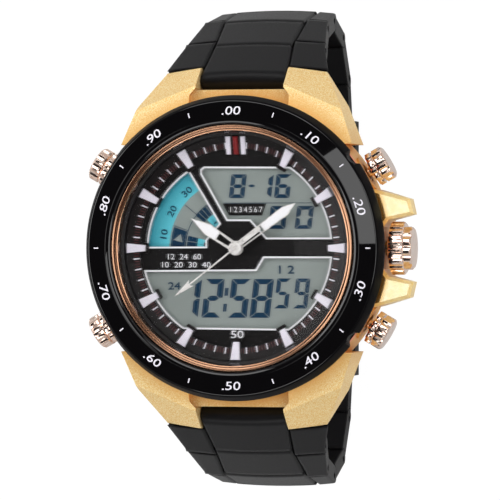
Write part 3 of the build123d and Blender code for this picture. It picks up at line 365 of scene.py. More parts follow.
display_numbers = joined("display_numbers", [
    flat_number("24", 1.25, 1.25, -10.6, -6.2, number_level),
    flat_number("1 2", 1.35, 1.3, 8.1, -3.5, number_level),
])
fan_number_reach = 12.55
fan_numbers = []
for shown, clock in (("10", 280.0), ("20", 299.0), ("30", 317.5)):
    where = Matrix.Rotation(-math.radians(clock), 4, "Z") @ Matrix.Translation(
        (0, fan_number_reach * mm, (print_level + 2 * film) * mm)
    )
    fan_numbers.append(lettered(shown, 1.15, 1.25, 0.0, where))

# Cyan polariser print: bright at its middle and darker outwards, under the frame's shade
cyan_print, tree, place = new_material("polariser_print_cyan")
shade = add(tree, "ShaderNodeMapRange", {
    "Value": reach_from_axis(tree, place), "From Min": 11.4 * mm, "From Max": 14.8 * mm,
})
tint = add(tree, "ShaderNodeMix", {
    "Factor": shade.outputs["Result"], 6: linear("5CC6D6"), 7: linear("2A8C9E"),
}, data_type="RGBA")
finished(tree, add(tree, "ShaderNodeBsdfPrincipled", {"Base Color": tint.outputs[2], "Roughness": 0.35}))
for piece, material in (
    (extruded("fan_cyan_bands", cyan_bands, print_level, print_level + film), cyan_print),
    (extruded("fan_cells", fan_cells, print_level + film, print_level + 2 * film), lit_crystal),
    (joined("fan_numbers", fan_numbers), lit_crystal),
    (display_numbers, lit_crystal),
    (extruded("fan_pointer", [pointer], print_level + 2 * film, print_level + 3 * film), polariser),
):
    placed(piece, material)

# Dial plate and its frames
# A thin brass dial, painted matte black, with two display windows and the fan window cut through.
# Each window has a raised white frame line. A small black plate and plain numbers lie between them.

dial_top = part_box("dial_plate")[1].z / mm
dial_print_level = dial_top + 0.01


def inset_loop(points, distance):
    """A closed outline moved sideways, square to each of its edges."""
    moved = []
    count = len(points)
    for i in range(count):
        (ax, ay), (bx, by), (cx, cy) = points[i - 1], points[i], points[(i + 1) % count]
        first = Vector((by - ay, ax - bx)).normalized()
        second = Vector((cy - by, bx - cx)).normalized()
        mid = (first + second).normalized()
        reach = distance / max(0.5, mid.dot(first))
        moved.append((bx + mid.x * reach, by + mid.y * reach))
    return moved


def band(name, outer, inner, low, high):
    """A closed band between two outlines of as many points, raised between two heights."""
    bm = bmesh.new()
    count = len(outer)
    loops = [[bm.verts.new((x * mm, y * mm, z * mm)) for x, y in loop]
             for loop, z in ((outer, low), (outer, high), (inner, high), (inner, low))]
    for a in range(4):
        b = (a + 1) % 4
        for i in range(count):
            j = (i + 1) % count
            bm.faces.new((loops[a][i], loops[a][j], loops[b][j], loops[b][i]))
    bmesh.ops.recalc_face_normals(bm, faces=bm.faces)
    return piece_from(bm, name)


def arc(radius, first, last, steps=16):
    """Points along a circle about the hands' axis."""
    return [ray(radius, first + (last - first) * i / steps) for i in range(steps + 1)]


window_radius = 15.9
upper_window = arc(window_radius, 34.2, 84.24) + [
    (5.01, 1.59), (2.31, 4.56), (-1.59, 4.58), (-5.95, 12.15), (-5.95, 12.85), (-5.41, 13.26),
]
lower_window = arc(window_radius, 95.4, 146.88) + arc(window_radius, 214.2, 256.32) + [
    (3.29, -3.61), (4.56, -1.49),
]
fan_window = arc(15.0, 270.36, 327.6) + [(-2.77, 4.01), (-5.09, 1.3), (-5.09, 0.13)]
frame_width = 0.28
frame_rise = 0.12
window_frames = []
for number, outline in enumerate((upper_window, lower_window, fan_window)):
    window_frames.append(band(f"window_frame_{number + 1}", inset_loop(outline, frame_width / 2),
                              inset_loop(outline, -frame_width / 2), dial_top, dial_top + frame_rise))
label_top = lcd_top + 0.06
label_outline = [(-2.45, 7.3), (4.9, 7.3), (4.2, 5.36), (-1.35, 5.36)]
label_plate = extruded("label_plate", [label_outline], print_level, label_top)
plain_numbers = [
    flat_number("1 2 3 4 5 6 7", 0.9, 0.84, 1.45, 6.33, label_top + 0.02, 0.0),
    flat_number("12  24  60", 0.92, 1.1, -8.9, -1.4, dial_print_level, 0.0),
    flat_number("10  20  30  40", 0.92, 1.15, -8.6, -2.72, dial_print_level, 0.0),
    flat_number("50", 1.25, 1.3, 0.1, -14.12, dial_print_level, 0.01),
]

# Painted brass: matte black with a faint warm mottle
black_paint = speckled("black_dial_paint", "0E0B0C", "080607", 0.5, 0.0005, 0.5, specular=0.2)
# White enamel on the raised frame lines: clean, with a slight gloss
white_enamel = speckled("white_enamel", "F4F4F6", "E4E4EA", 0.5, 0.002, 0.3)
dress(black_paint, "dial_plate")
for piece in window_frames:
    placed(piece, white_enamel)
placed(label_plate, black_paint)
placed(joined("dial_numbers", plain_numbers), white_enamel)

# Chapter ring and markers
# A moulded black ring that slopes up to the glass, printed with white minute lines and a red hatch.
# Eleven white blocks and three bars at 12, the middle one red, are pressed into it.

ring_inner, ring_outer = 16.3, 18.45
slope_low, slope_high = 11.3, 11.9


def ring_height(radius):
    """The height of the chapter ring's slope at a radius."""
    share = (radius - ring_inner) / (ring_outer - ring_inner)
    return slope_low + (slope_high - slope_low) * share


def ring_tree(name):
    """A node tree that sets copies of a small slab round the hands' axis, lying on a slope."""
    tree = bpy.data.node_groups.new(name, "GeometryNodeTree")
    face = tree.interface
    for label, value in (("Count", 60), ("Skip Every", 5)):
        face.new_socket(label, in_out="INPUT", socket_type="NodeSocketInt").default_value = value
    for label in ("Radius", "Height", "Tilt", "Width", "Length", "Thickness"):
        face.new_socket(label, in_out="INPUT", socket_type="NodeSocketFloat")
    face.new_socket("Material", in_out="INPUT", socket_type="NodeSocketMaterial")
    face.new_socket("Geometry", in_out="OUTPUT", socket_type="NodeSocketGeometry")
    given = add(tree, "NodeGroupInput").outputs
    points = add(tree, "GeometryNodePoints", {"Count": given["Count"]})
    index = add(tree, "GeometryNodeInputIndex").outputs[0]
    step = add(tree, "ShaderNodeMath", {0: 2 * math.pi, 1: given["Count"]}, operation="DIVIDE")
    angle = add(tree, "ShaderNodeMath", {0: index, 1: step.outputs[0]}, operation="MULTIPLY").outputs[0]
    left = add(tree, "ShaderNodeMath", {0: index, 1: given["Skip Every"]}, operation="MODULO").outputs[0]
    kept = add(tree, "ShaderNodeMath", {0: left, 1: 0.5}, operation="GREATER_THAN").outputs[0]
    turn = add(tree, "ShaderNodeCombineXYZ", {"X": given["Tilt"], "Z": angle})
    sine = add(tree, "ShaderNodeMath", {0: angle}, operation="SINE").outputs[0]
    cosine = add(tree, "ShaderNodeMath", {0: angle}, operation="COSINE").outputs[0]
    across = add(tree, "ShaderNodeMath", {0: sine, 1: given["Radius"]}, operation="MULTIPLY").outputs[0]
    x = add(tree, "ShaderNodeMath", {0: across, 1: -1.0}, operation="MULTIPLY").outputs[0]
    y = add(tree, "ShaderNodeMath", {0: cosine, 1: given["Radius"]}, operation="MULTIPLY").outputs[0]
    spot = add(tree, "ShaderNodeCombineXYZ", {"X": x, "Y": y, "Z": given["Height"]})
    moved = add(tree, "GeometryNodeSetPosition", {"Geometry": points.outputs[0], "Position": spot.outputs[0]})
    size = add(tree, "ShaderNodeCombineXYZ", {
        "X": given["Width"], "Y": given["Length"], "Z": given["Thickness"],
    })
    slab = add(tree, "GeometryNodeMeshCube", {"Size": size.outputs[0]})
    copies = add(tree, "GeometryNodeInstanceOnPoints", {
        "Points": moved.outputs[0], "Selection": kept, "Instance": slab.outputs["Mesh"],
        "Rotation": turn.outputs[0],
    })
    real = add(tree, "GeometryNodeRealizeInstances", {0: copies.outputs[0]})
    painted = add(tree, "GeometryNodeSetMaterial", {
        "Geometry": real.outputs[0], "Material": given["Material"],
    })
    add(tree, "NodeGroupOutput", {0: painted.outputs[0]})
    return tree


def grown(name, tree, values):
    """A plain mesh piece grown by a node tree from named inputs."""
    seed = bpy.data.objects.new(name, bpy.data.meshes.new(name + "_seed"))
    bpy.context.collection.objects.link(seed)
    modifier = seed.modifiers.new("grow", "NODES")
    modifier.node_group = tree
    for item in tree.interface.items_tree:
        if item.in_out == "INPUT" and item.name in values:
            modifier[item.identifier] = values[item.name]
    bpy.context.view_layer.update()
    graph = bpy.context.evaluated_depsgraph_get()
    seed.data = bpy.data.meshes.new_from_object(seed.evaluated_get(graph))
    seed.modifiers.clear()
    return seed


ring_copies = ring_tree("slabs_round_a_ring")
slab_thickness = 0.06 * mm
slope = math.atan2(slope_high - slope_low, ring_outer - ring_inner)
# White print: clean and slightly glossy
white_print = speckled("white_print", "F2EFF6", "E2DEEA", 0.4, 0.0, 0.35)
# Dark red print of the fine hatch between the minute lines: matte
red_print = speckled("dark_red_print", "5E1A1C", "3A1214", 0.25, 0.0, 0.5)
# Moulded ring: satin black with a brown cast
ring_black = speckled("ring_plastic_black", "160F10", "0A0708", 0.6, 0.004, 0.35, specular=0.3)


def ring_slabs(name, radius, length, width, rise, count, skip, material):
    """Slabs laid on the chapter ring's slope."""
    values = {
        "Count": count, "Skip Every": skip, "Radius": radius * mm,
        "Height": (ring_height(radius) + rise) * mm, "Tilt": slope, "Width": width * mm,
        "Length": length * mm, "Thickness": slab_thickness, "Material": material,
    }
    return grown(name, ring_copies, values)


minute_lines = ring_slabs("minute_lines", 16.85, 1.05, 0.2, 0.03, 60, 5, white_print)
hatch_lines = ring_slabs("hatch_lines", 16.85, 0.8, 0.13, 0.02, 240, 4, red_print)
for piece in (minute_lines, hatch_lines):
    placed(piece, None)
dress(ring_black, "chapter_ring")


def blocks_on_slope(name, blocks):
    """Blocks that lie along the ring's slope: (clock, inner half width, outer half width, shift)."""
    bm = bmesh.new()
    low, high, start, end, edge = 0.02, 0.42, 15.35, 18.3, 0.1
    for clock, inner_half, outer_half, shift in blocks:
        turn = Matrix.Rotation(-math.radians(clock), 4, "Z")
        corners = []
        for rise, pinch in ((low, 0.0), (high - edge, 0.0), (high, edge)):
            ring = []
            for radius, half, side in (
                (start + pinch, inner_half, -1), (start + pinch, inner_half, 1),
                (end - pinch, outer_half, 1), (end - pinch, outer_half, -1),
            ):
                x = shift + side * (half - pinch)
                z = ring_height(radius) + rise
                ring.append(bm.verts.new(turn @ Vector((x * mm, radius * mm, z * mm))))
            corners.append(ring)
        bm.faces.new(reversed(corners[0]))
        bm.faces.new(corners[-1])
        for lower, upper in zip(corners, corners[1:]):
            for i in range(4):
                j = (i + 1) % 4
                bm.faces.new((lower[i], lower[j], upper[j], upper[i]))
    bmesh.ops.recalc_face_normals(bm, faces=bm.faces)
    return piece_from(bm, name)


def turned_points(points, clock):
    """Points drawn pointing to 12, turned to a clock direction."""
    angle = -math.radians(clock)
    cosine, sine = math.cos(angle), math.sin(angle)
    return [(x * cosine - y * sine, x * sine + y * cosine) for x, y in points]


hour_clocks = [30 * hour for hour in range(1, 12)]
hours = [(clock, 0.5, 0.8, 0.0) for clock in hour_clocks]
white_blocks = blocks_on_slope("hour_blocks", hours + [(0, 0.36, 0.4, -1.24), (0, 0.36, 0.4, 1.24)])
red_bar = blocks_on_slope("red_bar", [(0, 0.38, 0.42, 0.0)])
# Luminous white, cast: matte and very slightly lilac
lume_white = speckled("luminous_white", "F2EEF8", "E4DEEC", 0.3, 0.003, 0.55)
# Red enamel on the middle bar at 12: deep, with a slight gloss
red_enamel = speckled("red_enamel", "8E1216", "6A0C10", 0.3, 0.002, 0.3)
placed(white_blocks, lume_white, replaces=["hour_markers"])
placed(red_bar, red_enamel)
foot = [(-0.8, 14.75), (0.8, 14.75), (0.95, 15.3), (-0.95, 15.3)]
foot_rise = 0.3
feet = [turned_points(foot, clock) for clock in hour_clocks]
placed(extruded("marker_feet", feet, dial_top, dial_top + foot_rise), ring_black)

# Hands
# Stamped brass hands, polished silver at their edges and hub, with white fields on their leaves.
# They press on the hour pipe, the cannon tube and the seconds arbor.

hand_plate = 0.16
field_top = hand_plate + 0.04
needle_plate = 0.14
needle_clock = 232.0


def both_sides(half, tip):
    """A closed outline from its right half, with a point at its tip."""
    return half + [tip] + [(-x, y) for x, y in reversed(half)]


def disc(radius, steps=48):
    """A round outline about the hands' axis."""
    return [ray(radius, 360 * i / steps) for i in range(steps)][::-1]


def hub_cap(name, profile, steps=64):
    """A small turned cap about the hands' axis: (radius, height) points from outside in."""
    bm = bmesh.new()
    rings = [[bm.verts.new((x * mm, y * mm, z * mm)) for x, y in disc(r, steps)] for r, z in profile]
    for lower, upper in zip(rings, rings[1:]):
        for i in range(steps):
            j = (i + 1) % steps
            bm.faces.new((lower[i], lower[j], upper[j], upper[i]))
    bm.faces.new(rings[0])
    bm.faces.new(rings[-1])
    bmesh.ops.recalc_face_normals(bm, faces=bm.faces)
    return piece_from(bm, name)


# Silver plate, diamond cut: bright with a soft reflection
silver_plate = grainy_metal("silver_plated_brass_cut", "F0EDEA", "DCD8D6", 1.0, 0.0005, 0.3, metallic=0.2)
# White lacquer on the hands' fields: the cleanest white on the watch, satin
white_lacquer = speckled("white_lacquer", "FCFBFD", "F2F0F4", 0.4, 0.001, 0.35)

# Each hand's body, the clock direction it is drawn at, its hub, its two stems and leaf, and its field
for name, body, clock, hub, shapes, face in (
    ("hour_hand", "hour", 303.0, 1.2, [
        [(0.36, 0.7), (0.8, 0.7), (0.86, 3.7), (0.56, 3.7)],
        [(-0.8, 0.7), (-0.36, 0.7), (-0.56, 3.7), (-0.86, 3.7)],
        both_sides([(0.86, 3.6), (0.98, 5.6)], (0, 9.0)),
    ], both_sides([(0.72, 3.72), (0.84, 5.55)], (0, 8.6))),
    ("minute_hand", "centre", 53.8, 1.1, [
        [(0.44, 0.7), (0.66, 0.7), (0.72, 5.7), (0.5, 5.7)],
        [(-0.66, 0.7), (-0.44, 0.7), (-0.5, 5.7), (-0.72, 5.7)],
        both_sides([(0.72, 5.6), (0.8, 10.4)], (0, 12.5)),
    ], both_sides([(0.58, 5.72), (0.66, 10.35)], (0, 12.15))),
):
    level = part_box(name)[0].z / mm
    metal = [turned_points(points, clock) for points in shapes] + [disc(hub)]
    field = [turned_points(face, clock)]
    plate = extruded(name + "_metal", metal, level, level + hand_plate)
    placed(plate, silver_plate, body, [name])
    lacquer = extruded(name + "_field", field, level + hand_plate, level + field_top)
    placed(lacquer, white_lacquer, body)

needle_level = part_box("second_hand")[0].z / mm
needle = turned_points(both_sides([
    (0.22, -5.4), (0.38, -5.0), (0.34, -1.2), (0.13, -0.7), (0.1, 9.75), (0.6, 9.25),
], (0, 12.9)), needle_clock)
placed(extruded("second_hand_metal", [needle], needle_level, needle_level + needle_plate), silver_plate,
       "seconds", ["second_hand"])
cap_profile = [(radius, needle_level + rise) for radius, rise in (
    (1.05, 0.0), (1.05, 0.12), (0.95, 0.18), (0.62, 0.2), (0.56, 0.14), (0.5, 0.14), (0.44, 0.2),
    (0.28, 0.2), (0.22, 0.1), (0.05, 0.1),
)]
placed(hub_cap("hands_cap", cap_profile), silver_plate, "seconds")

# Glass
# Flat mineral crystal with a small bevel, pressed on its gasket inside the copper ring.

# Soda-lime glass, ground and polished: clear, with a thin reflection
mineral_glass, tree, _ = new_material("soda_lime_glass_polished")
finished(tree, add(tree, "ShaderNodeBsdfPrincipled", {
    "Base Color": linear("FAFCFC"), "Roughness": 0.0, "IOR": 1.5, "Transmission Weight": 1.0, "Alpha": 0.12,
}))
dress(mineral_glass, "crystal")

# Copper ring
# A turned copper-plated brass ring between glass and bezel, polished, with fine turning lines.

sharp_from = math.radians(28)


def spun(name, profile, steps=360, limit=None):
    """A closed profile of (radius, height) points spun about the hands' axis, cut off past a limit."""
    bm = bmesh.new()
    rings = []
    for step in range(steps):
        clock = 360 * step / steps
        ring = []
        for radius, height in profile:
            if limit:
                radius = min(radius, limit(clock))
            x, y = ray(radius, clock)
            ring.append(bm.verts.new((x * mm, y * mm, height * mm)))
        rings.append(ring)
    for i in range(steps):
        a, b = rings[i], rings[(i + 1) % steps]
        for j in range(len(profile)):
            k = (j + 1) % len(profile)
            bm.faces.new((a[j], a[k], b[k], b[j]))
    bmesh.ops.remove_doubles(bm, verts=bm.verts, dist=1e-7)
    bmesh.ops.recalc_face_normals(bm, faces=bm.faces)
    piece = piece_from(bm, name)
    piece.data.shade_smooth()
    piece.data.set_sharp_from_angle(angle=sharp_from)
    return piece


def turned_metal(name, light, dark, spacing, detail, roughness):
    """A metal with fine circular lines about the hands' axis, their spacing in millimetres."""
    material, tree, place = new_material(name)
    lines = add(tree, "ShaderNodeTexNoise", {
        "W": reach_from_axis(tree, place), "Scale": 1 / (spacing * mm), "Detail": detail,
    }, noise_dimensions="1D").outputs["Fac"]
    tone = add(tree, "ShaderNodeMix", {"Factor": lines, 6: linear(dark), 7: linear(light)}, data_type="RGBA")
    bump = add(tree, "ShaderNodeBump", {"Height": lines, "Distance": 0.01 * mm})
    finished(tree, add(tree, "ShaderNodeBsdfPrincipled", {
        "Base Color": tone.outputs[2], "Metallic": 1.0, "Roughness": roughness,
        "Normal": bump.outputs["Normal"],
    }))
    return material


trim_low, trim_high = (corner.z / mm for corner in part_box("bezel_trim_ring"))
trim_profile = [
    (19.13, trim_low), (20.14, trim_low), (20.14, trim_high - 0.14), (20.06, trim_high - 0.02),
    (19.96, trim_high), (19.86, trim_high - 0.06), (19.76, trim_high - 0.36), (19.5, trim_high - 0.46),
    (19.42, trim_high - 0.28), (19.32, trim_high - 0.22), (19.22, trim_high - 0.28), (19.13, trim_high - 0.5),
]
# Copper plate, turned and polished: warm, with circular lines that draw out its reflections. They
# are wider apart than a tool leaves them, so that they show.
copper_plate = turned_metal("copper_plate_turned", "C89E80", "845E48", 0.12, 2.0, 0.22)
placed(spun("copper_ring", trim_profile), copper_plate, replaces=["bezel_trim_ring"])

# Bezel
# A pressed and turned ring, coated gloss black, notched by the right pushers and flat by the left.
# White numerals every 36 degrees and short lines midway are filled into its face.

notch_clocks = (53.5, 126.5)
notch_radius = 1.5
notch_reach = 25.6
flat_clocks = (238.3, 301.7)
flat_reach = 24.75
bezel_low, bezel_top = (corner.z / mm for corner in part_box("bezel"))
bezel_steps = 1440
face_fall = 0.16
face_slope = math.atan(face_fall)
shoulder_radius = 24.0
steep_under = 0.9


def bezel_limit(clock):
    """How far out the bezel may reach in a clock direction, past its notches and flats."""
    limit = math.inf
    for notch in notch_clocks:
        away = math.radians(clock - notch)
        across = notch_reach * math.sin(away)
        if abs(across) < notch_radius and math.cos(away) > 0:
            near = notch_reach * math.cos(away) - math.sqrt(notch_radius ** 2 - across ** 2)
            limit = min(limit, near)
    for flat in flat_clocks:
        away = math.radians(clock - flat)
        if math.cos(away) > 0.9:
            limit = min(limit, flat_reach / math.cos(away))
    return limit


def face_height(radius):
    """The height of the bezel's face, which falls gently outwards."""
    return bezel_top - 0.05 - (radius - 21.2) * face_fall


face_inner = face_height(21.3)
bezel_profile = [
    (20.2, bezel_low), (24.75, bezel_low), (24.95, bezel_low + 0.2), (25.0, bezel_low + 0.6),
    (25.0, bezel_low + 1.0), (24.9, bezel_low + 1.35), (24.35, face_height(24.2) - 0.45),
    (24.2, face_height(24.2) - 0.14), (24.05, face_height(24.05) - 0.03), (23.95, face_height(23.95)),
    (23.9, face_height(23.9)), (21.4, face_height(21.4)), (21.3, face_inner), (21.1, face_inner - 0.01),
    (20.8, face_inner - 0.05), (20.5, face_inner - 0.16), (20.3, face_inner - 0.34),
    (20.2, bezel_top - 0.66),
]
# Black ion plating over polished steel: deep gloss with sharp reflections
black_gloss = speckled("black_plating_gloss", "070608", "050405", 3.0, 0.0, 0.02)
# The same plating on the side wall, left satin
black_satin = speckled("black_plating_satin", "070608", "050405", 3.0, 0.0, 0.4, specular=0.04)
bezel_ring = spun("bezel_ring", bezel_profile, bezel_steps, bezel_limit)
placed(bezel_ring, black_gloss, replaces=["bezel"])
bezel_ring.data.materials.append(black_satin)
for polygon in bezel_ring.data.polygons:
    centre = polygon.center / mm
    if math.hypot(centre.x, centre.y) > shoulder_radius and polygon.normal.z < steep_under:
        polygon.material_index = 1

numeral_radius, line_radius = 22.4, 22.7
numerals = []
for tenth in range(10):
    clock = 36 * tenth
    spin = math.radians(180 if 90 < clock < 270 else 0)
    where = Matrix.Rotation(-math.radians(clock), 4, "Z") @ Matrix.Translation(
        (0, numeral_radius * mm, (face_height(numeral_radius) + 0.005) * mm)
    ) @ Matrix.Rotation(-face_slope, 4, "X") @ Matrix.Rotation(spin, 4, "Z")
    numerals.append(lettered(f".{tenth}0", 1.4, 1.35, 0.08, where, 0.004))
placed(joined("bezel_numerals", numerals), white_print)
line_values = {
    "Count": 20, "Skip Every": 2, "Radius": line_radius * mm, "Height": face_height(line_radius) * mm,
    "Tilt": -face_slope, "Width": 0.2 * mm, "Length": 0.8 * mm, "Thickness": slab_thickness,
    "Material": white_print,
}
placed(grown("bezel_lines", ring_copies, line_values), None)

# Case
# A forged steel case with lugs and crown guards, sandblasted and plated gold. The guards' tops are
# polished after blasting, and the ledge under the glass is painted black.

# The strips between the lugs, and where they go
strip_half_width, strip_near, strip_far, strip_move = 9.6, 25.7, 25.95, 0.3
# The guards, the seats round crown and pushers, and the ledge, from their places on the case
guards_start, guards_half_width, guard_top_over = 24.4, 10.2, 0.99
seats_start, seats_reach, seat_level, seat_side_under = 15.0, 25.9, bezel_low - 1.5, 0.6
ledge_reach = 19.4


def rounded_copy(node, name, edge, segments=2, shaped=None):
    """A copy of a CAD piece with its sharp edges rounded by a radius in millimetres."""
    bm = bmesh.new()
    bm.from_mesh(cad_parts[node].data)
    bmesh.ops.remove_doubles(bm, verts=bm.verts, dist=2e-6)
    bmesh.ops.dissolve_limit(bm, angle_limit=math.radians(0.6), verts=bm.verts, edges=bm.edges)
    if shaped:
        shaped(bm)
    piece = piece_from(bm, name)
    bevel = piece.modifiers.new("edges", "BEVEL")
    bevel.width = edge * mm
    bevel.segments = segments
    bevel.limit_method = "ANGLE"
    bevel.angle_limit = math.radians(32)
    bevel.use_clamp_overlap = True
    piece.data.shade_smooth()
    piece.modifiers.new("normals", "WEIGHTED_NORMAL").weight = 100
    bpy.context.view_layer.update()
    graph = bpy.context.evaluated_depsgraph_get()
    piece.data = bpy.data.meshes.new_from_object(piece.evaluated_get(graph))
    piece.modifiers.clear()
    return piece


def gold_plating(name, light, dark, shaded_tone, near, far, grain, depth, roughness, metallic):
    """Gold plating with a speckle and a painted shade: its colour darkens towards the bezel, where less light
    falls.
    """
    material, tree, place = new_material(name)
    noise = add(tree, "ShaderNodeTexNoise", {"Vector": place, "Scale": 1 / (grain * mm), "Detail": 3.0})
    speck = add(tree, "ShaderNodeMapRange", {
        "Value": noise.outputs["Fac"], "From Min": 0.35, "From Max": 0.65,
    })
    tone = add(tree, "ShaderNodeMix", {
        "Factor": speck.outputs["Result"], 6: linear(dark), 7: linear(light),
    }, data_type="RGBA")
    # Painted shade: the colour is the shaded tone inside the near reach and the speckled tone past the far
    # one
    shade = add(tree, "ShaderNodeMapRange", {
        "Value": reach_from_axis(tree, place), "From Min": near * mm, "From Max": far * mm,
    })
    mixed = add(tree, "ShaderNodeMix", {
        "Factor": shade.outputs["Result"], 6: linear(shaded_tone), 7: tone.outputs[2],
    }, data_type="RGBA")
    bump = add(tree, "ShaderNodeBump", {"Height": noise.outputs["Fac"], "Distance": depth * mm})
    finished(tree, add(tree, "ShaderNodeBsdfPrincipled", {
        "Base Color": mixed.outputs[2], "Metallic": metallic, "Roughness": roughness,
        "Normal": bump.outputs["Normal"],
    }))
    return material


# Gold ion plating over sandblasted steel: warm, with a bright speckle, coarser than the grit's own
# so that it shows, and a painted shade that deepens its colour on the lugs towards the bezel
gold_blasted = gold_plating("gold_plated_steel_blasted", "FFECB8", "EBB65A", "E6AC5A", 24.6, 27.4, 0.15,
                            0.035, 0.45, 0.45)
# The same plating over polished steel, on the guards' tops: smooth, its paler colour a painted highlight,
# with a painted shade towards the bezel
gold_polished_painted_highlight = gold_plating("gold_plated_steel_polished", "FFF3C8", "FFEDB6", "EDB058", 25.0, 26.0, 1.2,
                             0.0005, 0.16, 0.85)
# The same plating on the guards' sloping sides, satin, with a painted shade towards the bezel
gold_satin = gold_plating("gold_plated_steel_satin", "FCE2A4", "F4D084", "F0B860", 25.0, 26.5, 0.4, 0.001,
                          0.35, 0.35)
# The same plating in the seats round the crown and pushers, with a painted shade: red-orange next to the
# bezel
gold_seats_painted_shade = gold_plating("gold_plated_steel_seats_painted_shade", "F6C880", "EDB866", "F0762E", 25.0, 25.6, 0.5, 0.001,
                         0.3, 0.7)


def strips_moved(bm):
    """Brings the strips between the lugs out until they all but meet the links."""
    for vertex in bm.verts:
        x, y, _ = vertex.co / mm
        if abs(x) < strip_half_width and strip_near < abs(y) < strip_far:
            vertex.co.y += math.copysign(strip_move * mm, y)
    every = bm.verts[:] + bm.edges[:] + bm.faces[:]
    bmesh.ops.bisect_plane(bm, geom=every, dist=1e-6, plane_co=(0, 0, seat_level * mm), plane_no=(0, 0, 1))


case = rounded_copy("case_body", "gold_case", edge=0.18, shaped=strips_moved)
placed(case, gold_blasted, replaces=["case_body"])
# The places of its other finishes, and of the seats' painted shade, in its list of materials
guard_tops, seats, guard_slopes, ledge = 1, 2, 3, 4
for finish in (gold_polished_painted_highlight, gold_seats_painted_shade, gold_satin, black_paint):
    case.data.materials.append(finish)
for polygon in case.data.polygons:
    centre, upward = polygon.center / mm, polygon.normal.z
    reach = math.hypot(centre.x, centre.y)
    if centre.x > guards_start and abs(centre.y) < guards_half_width:
        polygon.material_index = guard_tops if upward > guard_top_over else guard_slopes
    # The seats' side walls under the bezel, round crown and pushers, take the plating with painted shade
    near_crown = centre.x > seats_start and reach < seats_reach
    if near_crown and centre.z > seat_level and abs(upward) < seat_side_under:
        polygon.material_index = seats
    if reach < ledge_reach and centre.z > dial_top:
        polygon.material_index = ledge

# Case back and spring bars
# A brushed steel back plate held by four slotted screws, and two steel spring bars in the lugs.

# Stainless steel, brushed in circles about the middle: soft rings of light, drawn coarse to show
brushed_back = turned_metal("stainless_steel_brushed_round", "D2D2D6", "A2A2A6", 0.15, 3.0, 0.3)
dress(brushed_back, "case_back")
dress(nickel_can, "case_back_screws", "spring_bars", "crown_stem")

# Crown and pushers
# Turned and knurled steel, plated pale rose gold and polished. The crown is two fluted rings on its
# stem, and each pusher is a fluted cap on a sprung stem.

# Rose gold plating over polished steel: pale, with warm dark reflections
rose_polished = grainy_metal("rose_gold_plated_steel_polished", "FBE6D8", "F2D2C0", 1.0, 0.0005, 0.12)
knob = rounded_copy("crown", "crown_knob", edge=0.07)
placed(knob, rose_polished, "crown_turn", ["crown"])
for hour in (2, 4, 8, 10):
    node = f"pusher_at_{hour}"
    cap = rounded_copy(node, f"pusher_cap_{hour}", edge=0.1)
    placed(cap, rose_polished, f"pusher_{hour}", [node])

# Bracelet
# Solid steel links, plated matte black over a fine blast. In each row a centre link and two side
# links are held by a cross pin, and the row is slightly rounded across its width.

# The rounding of a link's edges, where a row is cut so that it can curve, and how its face falls away
link_edge = 0.42
half_row, cut_every = 12, 2
side_fall = 0.006
fall_depth = 1.8
wrist_centre = Vector((0, 0, -12 * mm))

# Black ion plating over fine-blasted steel: dark and soft, its grain drawn coarse to show
black_blasted = grainy_metal("black_plated_steel_blasted", "0E0D0F", "080709", 0.15, 0.006, 0.4, metallic=0.0,
                             specular=0.18, soft=0.5)


def rounded_across(bm):
    """Rounds a row of links across its width: its outer face falls away to both sides."""
    flat = max((face for face in bm.faces if abs(face.normal.x) < 0.02), key=lambda face: face.calc_area())
    out = flat.normal.copy()
    if out.dot(flat.calc_center_median() - wrist_centre) < 0:
        out.negate()
    for x in range(-half_row, half_row + 1, cut_every):
        every = bm.verts[:] + bm.edges[:] + bm.faces[:]
        bmesh.ops.bisect_plane(bm, geom=every, dist=1e-6, plane_co=(x * mm, 0, 0), plane_no=(1, 0, 0))
    top = max(vertex.co.dot(out) for vertex in bm.verts)
    for vertex in bm.verts:
        rise = 1 - (top - vertex.co.dot(out)) / (fall_depth * mm)
        if rise > 0:
            vertex.co -= out * (rise * side_fall * (vertex.co.x / mm) ** 2 * mm)


for side in ("12", "6"):
    for number in range(1, 7):
        node, row = f"links_{side}_side_{number}", f"row_{side}_{number}"
        links = rounded_copy(node, row, link_edge, segments=3, shaped=rounded_across)
        placed(links, black_blasted, row, [node])

# Folding clasp
# A pressed cover in the bracelet's black, and two plain steel blades that fold under it.

# Stainless steel strip, brushed lengthwise: pale with a straight grain
brushed_strip = grainy_metal("stainless_strip_brushed", "C6C6CA", "9C9CA2", 0.2, 0.003, 0.3,
                             stretch=(6, 0.3, 1))
cover = rounded_copy("clasp_cover", "cover_plate", edge=0.12)
placed(cover, black_blasted, "clasp_cover", ["clasp_cover"])
for blade in ("clasp_outer_blade", "clasp_inner_blade"):
    strip = rounded_copy(blade, blade + "_strip", edge=0.1)
    placed(strip, brushed_strip, blade, [blade])

# Floor and light
# A plain white floor under the standing watch, a pale surround, and large soft lamps.

floor_level = cad_box[0].z - 0.05 * mm
bpy.ops.mesh.primitive_plane_add(size=4, location=(0, 0, floor_level))
floor = bpy.context.object
floor.name = "studio_floor"
floor_white, tree, _ = new_material("studio_paper_white")
path = add(tree, "ShaderNodeLightPath")
seen = add(tree, "ShaderNodeMath", {0: path.outputs["Is Camera Ray"], 1: path.outputs["Is Transmission Ray"]},
           operation="MAXIMUM")
tone = add(tree, "ShaderNodeMix", {
    "Factor": path.outputs["Is Glossy Ray"], 6: linear("F4F4F4"), 7: linear("CCCCCC"),
}, data_type="RGBA")
paper = add(tree, "ShaderNodeBsdfDiffuse", {"Color": tone.outputs[2]})
glow = add(tree, "ShaderNodeEmission", {"Color": linear("FFFFFF"), "Strength": 1.03})
share = add(tree, "ShaderNodeMath", {0: seen.outputs[0], 1: 0.95}, operation="MULTIPLY")
finished(tree, add(tree, "ShaderNodeMixShader", {
    0: share.outputs[0], 1: paper.outputs[0], 2: glow.outputs[0],
}))
floor.data.materials.append(floor_white)

